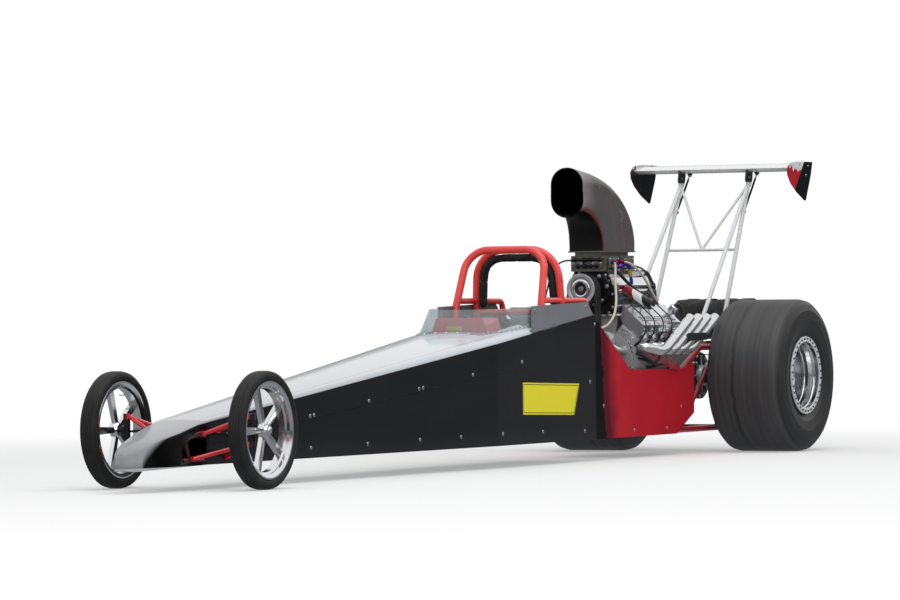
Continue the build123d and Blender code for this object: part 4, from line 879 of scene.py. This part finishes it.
lead_rubber = Finish("black_silicone_lead", "#101011", 0.45)  # soft black gloss
first_port, bore_spacing = 1.164, 0.117
leads, boots = [], []
boot = [(0, 0.0075), (0.020, 0.0085), (0.040, 0.0075), (0.050, 0.0055)]
for sign in (1, -1):
    for k in range(4):
        port = first_port - bore_spacing * k + 0.058
        x0, y0 = 0.622 + 0.012 * k, 0.016 + 0.010 * k
        route = [(x0, y0, 0.985), (x0, y0, 1.010), (0.675 + 0.02 * k, 0.100, 1.005 - 0.012 * k),
                 (0.700 + 0.05 * k, 0.165, 0.930 - 0.01 * k), (port - 0.02, 0.205, 0.865),
                 (port, 0.262, 0.822),
                 (port, 0.318, 0.775), (port, 0.322, 0.715), (port, 0.300, 0.668), (port, 0.272, 0.640)]
        leads.append(tube(np.array(route) * (1, sign, 1), 0.0036, 10, 60, (1.0, 0.02, 0.01)))
        boots.append(lathe(boot, (port, sign * 0.2505, 0.6235), (0, sign * 0.79, 0.61), 16))
        boots.append(lathe([(0, 0.007), (0.026, 0.0065)], (x0, sign * y0, 0.970), (0, 0, 1), 12))
cap = [(0, 0.046), (0.012, 0.048), (0.030, 0.046), (0.052, 0.038), (0.058, 0.030)]
boots.append(lathe(cap, (0.640, 0, 0.925), (0, 0, 1), 40))
body = [(0, 0.026), (0.11, 0.026), (0.115, 0.034), (0.15, 0.036), (0.19, 0.046), (0.224, 0.048),
        (0.234, 0.050),
        (0.2342, 0.0)]
build("magneto_body", [lathe(body, (0.640, 0, 0.6905), (0, 0, 1))], polished)
build("plug_leads", leads, lead_rubber)
build("magneto_cap_and_boots", boots, lead_rubber)

# ---- Header flanges
# Laser-cut steel ovals with two bolts each, and the soot-dark inside of each
# pipe's open end.
flanges, heads, soot = [], [], []
out, rise = unit([(0, 0.110, -0.017), (0, 0.017, 0.110)])
oval = rounded([(-0.050, 0), (-0.022, 0.036), (0.022, 0.036), (0.050, 0), (0.022, -0.036),
                (-0.022, -0.036)], 0.02)
inside = [(-0.088, 0.0252), (-0.002, 0.0252), (-0.002, 0.0249), (-0.0872, 0.0249)]
for k in range(4):
    port = np.array([first_port - bore_spacing * k, 0.2541, 0.620])
    rows = [(0.0005, 0.0), (0.0005, 1.0), (0.0075, 1.0), (0.0085, 0.96), (0.0085, 0.0)]
    flanges.append(skin(np.array([port + out * d + s * (oval[:, :1] * ahead + oval[:, 1:] * rise) for d,
                                  s in rows])))
    for dx in (-0.040, 0.040):
        heads += bolt(port + out * 0.008 + (dx, 0, 0), out, 0.0055)
    soot.append(lathe(inside, (port[0] - 0.480, 0.350, 0.774), (-0.340, 0.014, 0.188), 32))
build("header_flanges", both_sides(flanges), bare_steel)
build("header_bolts", both_sides(heads), zinc)
build("pipe_soot", both_sides(soot), Finish("soot", "#1b1a19", 0.9))  # dead black

# ---- Front of the engine
# Plated bolts round the motor plate, cover and head ends, polished freeze plugs,
# and a black throttle cable with two red sleeves.
heads, plugs = [], []
plate_face = stations(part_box("motor_plates"))[1][0]
cover_low, cover_high = stations(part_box("engine_block"))
head_front = stations(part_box("cylinder_heads"))[1][0]
for y0, z0 in ((0.235, 0.160), (0.235, 0.330), (0.235, 0.500), (0.150, 0.150)):
    heads += bolt((plate_face, y0, z0), ahead, 0.0085, 0.007)
span_y, span_z = (cover_high[1] - cover_low[1]) / 2, cover_high[2] - cover_low[2]
for t in (0.10, 0.34, 0.58, 0.82):
    heads += bolt((cover_high[0], span_y - 0.014, cover_low[2] + t * span_z), ahead, 0.0058)
for y0, z0 in ((0.118, 0.655), (0.190, 0.690), (0.225, 0.622), (0.168, 0.610)):
    heads += bolt((head_front, y0, z0), ahead, 0.0062)
for y0, z0, r in ((0.150, 0.665, 0.016), (0.205, 0.640, 0.012), (0.175, 0.715, 0.010), (0.232, 0.665, 0.009),
                  (0.130, 0.612, 0.009)):
    plugs.append(lathe([(-0.004, r), (0.0016, r), (0.0024, r * 0.82), (0.0008, r * 0.70)],
                       (head_front, y0, z0),
                       ahead, 32))
build("front_bolts", both_sides(heads), zinc)
build("front_plugs", both_sides(plugs), polished)
cable = [(1.300, -0.085, 1.100), (1.330, -0.115, 1.105), (1.372, -0.150, 1.085), (1.392, -0.185, 1.030),
         (1.380, -0.205, 0.960), (1.400, -0.225, 0.860), (1.450, -0.240, 0.760), (1.540, -0.2565, 0.668),
         (1.620, -0.2565, 0.7036), (1.700, -0.2565, 0.7546), (1.800, -0.2565, 0.8184)]
path = smooth_path(cable, 90)
black_cable = Finish("black_braided_cable", "#141416", 0.5)  # dull black
build("throttle_cable", [carry(circle(0.0048, 12), path, (0.2, 0.9, 0.1))], black_cable)
sleeve = [(0, 0.0049), (0, 0.0068), (0.036, 0.0068), (0.036, 0.0049), (0, 0.0049)]
red_sleeve = Finish("red_shrink_sleeve", "#c2202c", 0.4)  # a bright accent
build("throttle_cable_sleeves", [lathe(sleeve, path[k], path[k + 1] - path[k], 16) for k in (14, 40)],
      red_sleeve)

# ---- Rear end
# Plated studs and cast ribs round the axle's centre section, two bolts behind it,
# caliper and gearbox bolts, and black brake lines.
studs, ribs = [], []
centre_r, centre_half = 0.135, 0.105
caliper_out = float(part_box("brake_calipers")[1][1])
for sign in (1, -1):
    axis, start = (0, sign, 0), (0, sign * centre_half, rear_wheel_z)
    for spot in spots_round(start, axis, 0.120, np.linspace(0, 2 * np.pi, 12, endpoint=False) + 0.13):
        studs += bolt(spot, axis, 0.0075, 0.007)
    for away in spots_round((0, 0, 0), axis, 1.0, np.linspace(0, 2 * np.pi, 8, endpoint=False)):
        ribs.append(slab(start + away * 0.080 + (0, sign * 0.006, 0), (0.062, 0.016, 0.008), 0.003,
                         (away, axis, np.cross(away, axis))))
    ribs.append(lathe([(-0.003, 0.044), (-0.003, 0.062), (0.030, 0.058), (0.034, 0.052), (0.034, 0.044),
                       (-0.003, 0.044)], start, axis, 40))
    for x0, z0 in ((0.112, 0.402), (0.150, 0.402), (0.112, 0.470), (0.150, 0.470)):
        studs += bolt((x0, sign * caliper_out, z0), axis, 0.0065, 0.006)
for a in (-0.32, 0.32):
    way = np.array([-math.cos(a), 0, math.sin(a)])
    studs += bolt((0, 0, rear_wheel_z) + centre_r * way, way, 0.010, 0.008)
build("axle_ribs", ribs, cast_alloy)
build("axle_studs", studs, zinc)
bolts = []
gearbox_rear = (stations(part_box("gearbox"))[0][0], 0, 0.375)
for spot in spots_round(gearbox_rear, ahead, 0.074, np.linspace(0, 2 * np.pi, 10, endpoint=False)):
    bolts += bolt(spot, (-1, 0, 0), 0.0055, 0.005)
build("gearbox_bolts", bolts, zinc)
line = np.array([(0.102, 0.318, 0.486), (0.080, 0.300, 0.520), (0.030, 0.262, 0.545), (0.012, 0.200, 0.552),
                 (0.008, 0.100, 0.560), (0.006, 0.0, 0.5645)])
build("brake_lines", [tube(line * (1, sign, 1), 0.0032, 10) for sign in (1, -1)], black_cable)

# ---- Rear wheels
# Bead-lock rings of clear anodised aluminium held by 32 dark bolts each, rolled
# ribs in the polished barrel, and five lug nuts round a hub cap.
ring_alloy = Finish("clear_anodised_ring", "#e4e5e6", 0.3, 0.35, (40.0, "#d9dadb", "#eeeff0"))  # satin
rim_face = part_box("rear_rim_left")[1][1]
lock = [(0.0003, 0.1925), (0.0003, 0.2222), (0.0045, 0.2222), (0.0065, 0.220), (0.0065, 0.216),
        (0.005, 0.214),
        (0.005, 0.201), (0.0065, 0.199), (0.0065, 0.1945), (0.0045, 0.1925), (0.0003, 0.1925)]
lock_bolt = [(0.0, 0.0056), (0.0045, 0.0056), (0.0052, 0.0046)]
lug_nut = [(0, 0.0125), (0.020, 0.0125), (0.024, 0.009), (0.030, 0.007)]
for sign, side in ((1, "left"), (-1, "right")):
    axis = (0, sign, 0)
    face = np.array([0, sign * rim_face, rear_wheel_z])
    hub_face = face - (0, sign * 0.264, 0)
    build(f"bead_lock_{side}", [lathe(lock, face, axis, 96)], ring_alloy, f"rear_wheel_{side}")
    parts = []
    for depth, inner in ((0.030, 0.191), (0.085, 0.1813), (0.150, 0.1813)):
        t = np.linspace(0, np.pi, 7)
        rib = np.stack([-depth - 0.007 * np.cos(t), inner - 0.0055 * np.sin(t)], -1)
        parts.append(lathe(np.concatenate([rib, [[-depth, inner + 0.0005]], rib[:1]]), face, axis, 96))
    parts.append(lathe([(-0.002, 0.036), (0.010, 0.034), (0.016, 0.026), (0.018, 0.0)], hub_face, axis, 40))
    build(f"barrel_ribs_{side}", parts, polished, f"rear_wheel_{side}")
    bolt_turns, nut_turns = 2 * np.pi * (np.arange(32) + 0.5) / 32, 2 * np.pi * np.arange(5) / 5
    heads = [lathe(lock_bolt, spot, axis, 6)
             for spot in spots_round(face + (0, sign * 0.005, 0), axis, 0.2075, bolt_turns)]
    heads += [lathe(lug_nut, spot, axis, 6)
              for spot in spots_round(hub_face - (0, sign * 0.004, 0), axis, 0.050, nut_turns)]
    build(f"bead_lock_bolts_{side}", heads, dark_metal, f"rear_wheel_{side}")

# ---- Wing hardware
# Dark turnbuckle rods from the wing's underside to the rear struts, with polished
# rod ends, and plated bolts through the brackets and end plates.
rods, ends, heads = [], [], []
strut_y = 0.216
top, low = np.array([(-0.600, strut_y, 1.612), (-0.406, strut_y, 1.390)])
run = unit(low - top)
rods = [rod(top, run, 0.03, 0.255, 0.0062, 16),
        slab((top[0], strut_y, 1.6185), (0.030, 0.022, 0.014), 0.003)]
for start, way in ((top, run), (low, -run)):
    ends.append(lathe([(0, 0.0045), (0.034, 0.0045), (0.034, 0.0075), (0.044, 0.0075)], start, way, 6))
    ends.append(rod(start, (0, 1, 0), -0.008, 0.008, 0.010, 20))
for dx, dz in ((0.0, -0.012), (-0.004, 0.030), (-0.006, 0.070)):
    for way in (1, -1):
        heads += bolt((-0.474 + dx, strut_y + way * 0.004, 1.560 + dz), (0, way, 0), 0.0055)
for x0, z0 in ((-0.415, 1.655), (-0.560, 1.663), (-0.690, 1.655), (-0.660, 1.600)):
    heads += bolt((x0, 0.5043, z0), (0, 1, 0), 0.0045, 0.003)
build("wing_adjuster_rods", both_sides(rods), dark_metal)
build("wing_rod_ends", both_sides(ends), polished)
build("wing_bolts", both_sides(heads), zinc)

# ---- Drive castings in front of the engine
# The supercharger's black nose cover with five bolts; water pipes up to both
# heads, an idler on its arm and an oil pump in bright cast alloy.
nose_outline = rounded([(-0.118, 0.900), (-0.088, 0.862), (0.088, 0.862), (0.118, 0.892), (0.132, 0.950),
                        (0.104, 1.016), (0.036, 1.036), (-0.064, 1.032), (-0.116, 0.990)], 0.03)
cover_front, cover_middle = 1.286, 0.945
build("blower_nose_cover", [plate_across(nose_outline, 1.2625, cover_front, 0.004)], dark_metal)
heads, castings = [], []
for y0, z0 in nose_outline[[2, 10, 18, 23, 31]]:
    heads += bolt((cover_front, y0 * 0.88, cover_middle + (z0 - cover_middle) * 0.86), ahead, 0.008, 0.006)
pipe = np.array([(1.262, 0.190, 0.600), (1.290, 0.190, 0.600), (1.296, 0.165, 0.612), (1.296, 0.120, 0.640),
                 (1.294, 0.060, 0.700), (1.292, 0.0, 0.716)])
pipe_flange = [(0, 0.024), (0.010, 0.024), (0.012, 0.018), (0.022, 0.018)]
outlet = [(0, 0.030), (0.012, 0.030), (0.014, 0.022), (0.060, 0.022), (0.062, 0.027), (0.072, 0.027)]
idler = [(0, 0.044), (0.004, 0.046), (0.058, 0.046), (0.062, 0.044), (0.062, 0.016), (0.058, 0.0)]
for sign in (1, -1):
    castings.append(tube(pipe * (1, sign, 1), 0.0145))
    castings.append(lathe(pipe_flange, (1.2385, sign * 0.190, 0.600), ahead, 24))
castings += [lathe(outlet, (1.292, 0, 0.690), (0, 0, 1), 32),
             slab((1.262, 0.128, 0.640), (0.046, 0.030, 0.110), 0.008),
             lathe(idler, (1.318, 0.128, 0.660), ahead, 40),
             slab((1.270, -0.120, 0.330), (0.060, 0.090, 0.090), 0.012),
             lathe([(0, 0.030), (0.040, 0.030), (0.044, 0.024)], (1.300, -0.120, 0.330), ahead, 32)]
build("drive_castings", castings, sheet_alloy)
build("drive_cover_bolts", heads, zinc)

# ---- Small lines on the engine
# Black rubber hoses, red plug wires under the pipes, and a chain of anodised
# fittings in purple, blue and gold.
black_hose = Finish("black_rubber_hose", "#131314", 0.42)  # slightly shiny black
routes = [
    (0.0055, [(1.100, 0.110, 1.075), (1.090, 0.140, 1.082), (0.980, 0.150, 1.070), (0.800, 0.130, 1.045),
              (0.680, 0.070, 1.000), (0.650, 0.040, 0.960)]),
    (0.0095, [(1.245, 0.110, 1.062), (1.250, 0.150, 1.050), (1.200, 0.166, 1.010), (1.100, 0.176, 0.955),
              (0.980, 0.190, 0.905), (0.880, 0.200, 0.868), (0.850, 0.200, 0.846)]),
    (0.0105, [(0.720, 0.262, 0.835), (0.700, 0.275, 0.852), (0.664, 0.280, 0.840), (0.642, 0.292, 0.780),
              (0.650, 0.300, 0.715), (0.622, 0.270, 0.640), (0.600, 0.190, 0.560)]),
    (0.007, [(0.560, 0.100, 0.500), (0.500, 0.140, 0.620), (0.470, 0.110, 0.760), (0.520, 0.060, 0.880),
              (0.620, 0.040, 0.930)]),
    (0.009, [(1.220, 0.215, 0.590), (1.190, 0.262, 0.580), (1.120, 0.295, 0.540), (1.030, 0.292, 0.512),
              (0.950, 0.262, 0.522), (0.900, 0.215, 0.500)]),
    (0.0065, [(1.180, 0.220, 0.560), (1.140, 0.270, 0.545), (1.070, 0.300, 0.520), (1.000, 0.300, 0.550),
              (0.940, 0.270, 0.560)]),
    (0.0065, [(1.050, 0.225, 0.500), (1.020, 0.275, 0.505), (0.930, 0.300, 0.520), (0.840, 0.290, 0.500),
              (0.780, 0.240, 0.480)]),
    (0.007, [(0.660, -0.020, 0.930), (0.600, -0.110, 0.900), (0.560, -0.160, 0.760),
             (0.590, -0.190, 0.600)]),
    (0.0095, [(1.150, -0.110, 1.075), (1.150, -0.150, 1.070), (1.060, -0.176, 0.980), (0.940, -0.190, 0.900),
              (0.900, -0.200, 0.855)]),
]
build("engine_hoses", [tube(points, radius) for radius, points in routes], black_hose)
wires = [tube([(1.150 - 0.085 * k, 0.262, 0.585), (1.120 - 0.080 * k, 0.292, 0.565 - 0.004 * k),
               (0.960 - 0.045 * k, 0.306, 0.520), (0.800 - 0.015 * k, 0.306, 0.484 + 0.003 * k),
               (0.700, 0.288, 0.478 + 0.004 * k)], 0.003, 10) for k in range(5)]
build("lower_plug_wires", wires, Finish("red_silicone_wire", "#b3202a", 0.4))  # clear red threads
fitting_route = np.array([(1.170, 0.121, 1.060), (1.140, 0.148, 1.078), (1.100, 0.156, 1.080),
                          (1.086, 0.162, 1.050),
                          (1.084, 0.166, 1.010), (1.080, 0.170, 0.965)])
purple = Finish("purple_anodised_aluminium", "#4b2a8a", 0.28, 0.9)  # coloured glints, as the gold below
gold = Finish("gold_anodised_aluminium", "#d8a42a", 0.28, 0.9)
for name, index, finish in (("purple_fitting", (0, 1), purple), ("blue_fittings", (2, 4), blue_anodised),
                            ("gold_fitting", (3,), gold)):
    parts = []
    for k in index:
        way = fitting_route[k + 1] - fitting_route[k]
        shape = np.array([(0, 0.0095), (0.25, 0.0095), (0.27, 0.012), (0.72, 0.012), (0.74, 0.0092),
                          (1, 0.0092)])
        parts.append(lathe(shape * (np.linalg.norm(way), 1), fitting_route[k], way,
                           6 if k in (0, 4) else 20))
    build(name, parts, finish)

# ---- Cockpit trim
# Slip-joint lines on the rear hoop, dials, switches and a blank label on the
# dash, and a black hub cover on the butterfly wheel.
joint = [(-0.0009, 0.019), (-0.0009, 0.0211), (0.0009, 0.0211), (0.0009, 0.019), (-0.0009, 0.019)]
build("cage_joint_lines", [lathe(joint, (2.1832, sign * 0.2515, 0.985), (0.0575, -sign * 0.0611, 0.996), 40)
                           for sign in (1, -1)], dark_slot)
dials, faces = [], []
dash_x, dial_z = 2.6975, 0.660
for y0, r in ((-0.120, 0.030), (-0.050, 0.036), (0.030, 0.036)):
    dials.append(lathe([(0.0, r), (0.012, r), (0.014, r - 0.003), (0.010, r - 0.004)], (dash_x, y0, dial_z),
                       (-1, 0, 0), 40))
    faces.append(rod((dash_x, y0, dial_z), (-1, 0, 0), 0.0102, 0.0106, r - 0.0045, 40))
    faces.append(slab((2.6868, y0, dial_z + r * 0.25), (0.0008, 0.0016, r * 0.9), 0.0003))
for k in range(3):
    dials.append(lathe([(0, 0.006), (0.005, 0.006), (0.006, 0.0025), (0.022, 0.002), (0.023, 0)],
                       (dash_x, 0.085 + 0.028 * k, 0.625), (-1, 0, 0.25), 12))
build("dash_dials", dials, dark_metal)
build("dial_faces", faces, Finish("blank_dial_card", "#dfe0dd", 0.6))  # matt white
build("dash_label", [slab((2.9008, -0.030, 0.738), (0.001, 0.090, 0.024), 0.0004)],
      Finish("blank_yellow_label", "#ead86a", 0.5))  # a plain yellow patch
tilt = np.array([math.cos(math.radians(20)), 0, -math.sin(math.radians(20))])
wheel_middle = sum(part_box("steering_wheel")[k][2] for k in (0, 1)) / 2
cover = [(0.0, 0.033), (0.006, 0.033), (0.010, 0.026), (0.012, 0.0)]
build("steering_hub_cover", [lathe(cover, (2.600, 0, wheel_middle) - tilt * 0.018, -tilt, 40)], dark_metal,
      "steering_wheel_body")

# ---- Soft goods
# Woven nylon for the parachute packs and belts, quilted fabric on the seat, slit
# foam tube on the cage. Packs and cushions are inflated by cloth pressure.
nylon = Finish("black_pack_nylon", "#121214", 0.72, clouds=(14.0, "#0e0e10", "#1b1b1e"), Sheen_Weight=0.25,
               Sheen_Roughness=0.5)  # dusty black with a fine weave
spot, x, y, z = nylon.where()
nylon.bump(wave((x + y) * 4200.0) * wave(z * 4200.0) + mottle(spot, 40.0), 0.0005)
webbing = Finish("black_webbing", "#17171a", 0.6, Sheen_Weight=0.2)  # ribbed across
spot, x, y, z = webbing.where()
ribs = wave((z + x * 0.7) * 2600.0)
# the colour follows the ribs, darker in their troughs: painted shade
webbing.tint(blend(ramp(ribs, -1.0, 1.0), "#101012", "#222226")).bump(ribs, 0.0004)
quilt = Finish("black_quilted_fabric", "#19191b", 0.8, clouds=(20.0, "#141416", "#222225"),
               Sheen_Weight=0.3)  # soft matt cloth
spot, x, y, z = quilt.where()
quilt.bump(wave(x * 3100.0) * wave(y * 3100.0), 0.0005)


def spots_of(piece):
    """A piece's points, their x as stations."""
    spots = np.empty(len(piece.data.vertices) * 3)
    piece.data.vertices.foreach_get("co", spots)
    return spots.reshape(-1, 3) - (axle_shift, 0, 0)


def move_to(piece, spots):
    """Moves a piece's points."""
    piece.data.vertices.foreach_set("co", (spots + (axle_shift, 0, 0)).ravel())


def inflated(name, part, finish, voxel=0.007, cap=0.010, held=None, crease=None):
    """The part remeshed, filled by cloth pressure but moved no more than cap, then creased."""
    piece = whole(name, [part])
    bpy.context.view_layer.objects.active = piece
    remesh = piece.modifiers.new("remesh", "REMESH")
    remesh.mode = "VOXEL"
    remesh.voxel_size = voxel
    bpy.ops.object.modifier_apply(modifier="remesh")
    start = spots_of(piece)
    pins = piece.vertex_groups.new(name="pins")
    cloth = piece.modifiers.new("cloth", "CLOTH")
    cloth.settings.use_pressure = True
    cloth.settings.uniform_pressure_force = 4.0
    cloth.settings.effector_weights.gravity = 0.0
    if held is not None:
        pins.add(np.flatnonzero(held(start)).tolist(), 1.0, "REPLACE")
        cloth.settings.vertex_group_mass = "pins"
    for k in range(1, 21):
        bpy.context.scene.frame_set(k)
    bpy.ops.object.modifier_apply(modifier="cloth")
    bpy.context.scene.frame_set(1)
    piece.vertex_groups.clear()
    smooth = piece.modifiers.new("smooth", "SUBSURF")
    smooth.levels = smooth.render_levels = 1
    move = spots_of(piece) - start
    far = np.linalg.norm(move, axis=-1, keepdims=True)
    move_to(piece, start + move * np.minimum(1.0, cap / np.maximum(far, 1e-9)))
    bpy.ops.object.modifier_apply(modifier="smooth")
    move_to(piece, crease(spots_of(piece)))
    piece.data.update()
    piece.data.polygons.foreach_set("use_smooth", np.ones(len(piece.data.polygons), bool))
    piece.data.materials.append(finish.made)
    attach(piece, "chassis")
    return piece


def pressed_in(distance, depth, width):
    """A channel's depth at a distance from its line: depth * exp(-(distance / width) ** 2)."""
    return depth * np.exp(-(distance / width) ** 2)


# parachute packs: two boxy nylon bags held by webbing loops, two buttoned flaps at the rear of each
low, high = stations(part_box("parachute_packs"))
size = np.array([high[0] - low[0], high[1] - 0.008, high[2] - low[2]])
middle_x, middle_z = (low[0] + high[0]) / 2, (low[2] + high[2]) / 2
loops = (middle_x - 0.062, middle_x + 0.062)
half_y, half_z, corner = size[1] / 2 - 0.0085, size[2] / 2 - 0.0095, 0.036
inner = np.array([half_y, half_z]) - corner
ring = np.clip(2.2 * inner * circle(1.0, 96), -inner, inner) + circle(corner, 96)
stud = [(0, 0.007), (0.003, 0.007), (0.004, 0.0045)]
packs, straps, flaps, rings = [], [], [], []
for sign, side in ((1, "left"), (-1, "right")):
    centre = np.array([middle_x, sign * (0.008 + size[1] / 2), middle_z])

    def under_straps(spots):
        """Points within a strap's width of either loop."""
        return (np.abs(spots[:, 0] - loops[0]) < 0.019) | (np.abs(spots[:, 0] - loops[1]) < 0.019)

    def sewn(spots):
        """Seams round the front and rear panels."""
        depth = sum(pressed_in(spots[:, 0] - x0, 0.0035, 0.004) for x0 in (low[0] + 0.028, high[0] - 0.028))
        return spots - unit(spots - centre) * depth[:, None]

    packs.append(inflated(f"parachute_pack_{side}", slab(centre, size - (0.022, 0.020, 0.022), corner),
                          nylon,
                          held=under_straps, crease=sewn))
    for x0 in loops:
        path = np.column_stack([np.full(96, x0), ring + centre[1:]])
        straps.append(carry(flat_oval(0.034, 0.0026), path, ahead, True))
        rings.append(slab((x0, centre[1] + sign * (half_y + 0.002), middle_z + 0.030),
                          (0.046, 0.006, 0.030), 0.003))
    for y0 in (centre[1] - 0.055, centre[1] + 0.055):
        path = np.array([(low[0] + dx, y0, high[2] - dz) for dx, dz in
                         ((0.060, 0.007), (0.030, 0.009), (0.014, 0.020), (0.005, 0.048), (0.002, 0.085))])
        flaps.append(carry(flat_oval(0.070, 0.004), path, (0, 1, 0)))
        rings.append(lathe(stud, (low[0] + 0.0005, y0, high[2] - 0.070), (-1, 0, 0), 20))
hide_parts("parachute_packs")
build("pack_straps", straps, webbing)
build("pack_flaps", flaps, nylon)
build("pack_buckles", rings, zinc)

# seat cushions: base and back, each a slab from start to end in the y = 0 plane, pressed into channels
cushion_width, edge = 0.381, 0.014
for name, start, end, thick in (("seat_base_cushion", (2.532, 0, 0.2315), (2.222, 0, 0.1915), 0.029),
                                ("seat_back_cushion", (2.193, 0, 0.236), (1.9715, 0, 0.757), 0.034)):
    span = np.subtract(end, start)
    centre, along, length = np.add(start, end) / 2, unit(span), np.linalg.norm(span) - edge
    over = np.array([-along[2], 0, along[0]])
    over = over if over[2] > 0 or over[0] > 0 else -over
    pitch = length / round(length / 0.075)

    def quilted(spots):
        """Channels every pitch along the pad, pressed in from its upper face, and two along its length."""
        s, t = (spots - centre) @ along, (spots - centre) @ over
        gap = np.abs((s / pitch - np.floor(s / pitch)) - 0.5) * pitch
        cut = pressed_in(pitch / 2 - gap, 0.0048, 0.006)
        cut = np.maximum(cut, pressed_in(np.abs(spots[:, 1]) - 0.118, 0.0048, 0.006))
        return spots - over * (cut * np.clip(t / 0.010, -0.6, 1.0))[:, None]

    pad = inflated(name, slab(centre, (length, cushion_width - edge, thick - 0.006), 0.011,
                              (along, (0, 1, 0), over)),
                   quilt, voxel=0.006, cap=0.006, crease=quilted)
    if name == "seat_back_cushion":
        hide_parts("seat_cushions")

# cage padding: foam tube in lengths along the inside of the rear hoop, waisted under its ties
hoop_y = 0.255 - 0.0428
pad_half = np.array([(2.180, hoop_y, 0.845), (2.180, hoop_y, 0.890), (2.187, 0.204, 1.010),
                     (2.1912, 0.189, 1.066),
                     (2.193, 0.143, 1.106), (2.1934, 0.088, 1.1155), (2.1934, 0.030, 1.1153)])
path = smooth_path(np.concatenate([pad_half, pad_half[::-1] * (1, -1, 1)]), 240)
run = np.concatenate([[0], np.cumsum(np.linalg.norm(np.diff(path, axis=0), axis=-1))])
ties = np.linspace(0.05, run[-1] - 0.05, 9)
gap = np.abs(run[:, None] - ties).min(1)
foam_r = 0.0212 - pressed_in(gap, 0.0022, 0.007) - 0.010 * np.exp(-np.minimum(run, run[-1] - run) / 0.006)
t = np.linspace(0, 2 * np.pi, 28, endpoint=False)
split = 1 - 0.10 * np.exp(-((t - np.pi / 2) / 0.10) ** 2)
foam = Finish("closed_cell_foam", "#161617", 0.85, clouds=(30.0, "#111112", "#1e1e20"),
              grain=(320.0, 3.0, 0.0007))  # dry, pored black
pad = build("cage_foam", [carry(foam_r[:, None, None] * circle(1.0, 28) * split[:, None], path, ahead)],
            foam)
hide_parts("cage_padding")
tie = [(-0.0022, 0.018), (-0.0022, 0.020), (0.0022, 0.020), (0.0022, 0.018), (-0.0022, 0.018)]
tangent = np.gradient(path, axis=0)
build("foam_ties", [lathe(tie, path[k], tangent[k], 28) for k in np.abs(run - ties[:, None]).argmin(1)],
      webbing)

# harness: two shoulder belts from a bar behind the seat, lap belts and a cam lock lying on the base
belts, metal = [], []
adjuster = np.array([unit((-0.38, 0, 0.92)), (0, 1, 0), unit((0.92, 0, 0.38))])
for sign in (1, -1):
    shoulder = [(1.942, 0.070, 0.700), (1.962, 0.070, 0.775), (1.985, 0.072, 0.798), (2.010, 0.075, 0.782),
                (2.052, 0.078, 0.690), (2.130, 0.082, 0.500), (2.196, 0.085, 0.350), (2.240, 0.075, 0.262),
                (2.300, 0.045, 0.230), (2.350, 0.018, 0.232)]
    lap = [(2.262, 0.186, 0.262), (2.270, 0.165, 0.266), (2.300, 0.115, 0.242), (2.345, 0.050, 0.238),
           (2.356, 0.020, 0.240)]
    for route, width, count, way in ((shoulder, 0.072, 90, (0, 1, 0)),
                                     (lap, 0.050, 50, (0.96, -sign * 0.25, 0))):
        path = smooth_path(np.array(route) * (1, sign, 1), count)
        belts.append(carry(flat_oval(width, 0.0024), path, way))
    metal.append(slab((2.115, sign * 0.081, 0.545), (0.030, 0.080, 0.008), 0.003, adjuster))
    metal.append(slab((2.262, sign * 0.1885, 0.262), (0.030, 0.006, 0.050), 0.002))
cam_lock = [(0, 0.032), (0.014, 0.032), (0.020, 0.026), (0.020, 0.012), (0.026, 0.010)]
metal.append(lathe(cam_lock, (2.358, 0, 0.232), (0, 0, 1), 40))
build("harness_belts", belts, webbing)
build("harness_metal", metal, zinc)
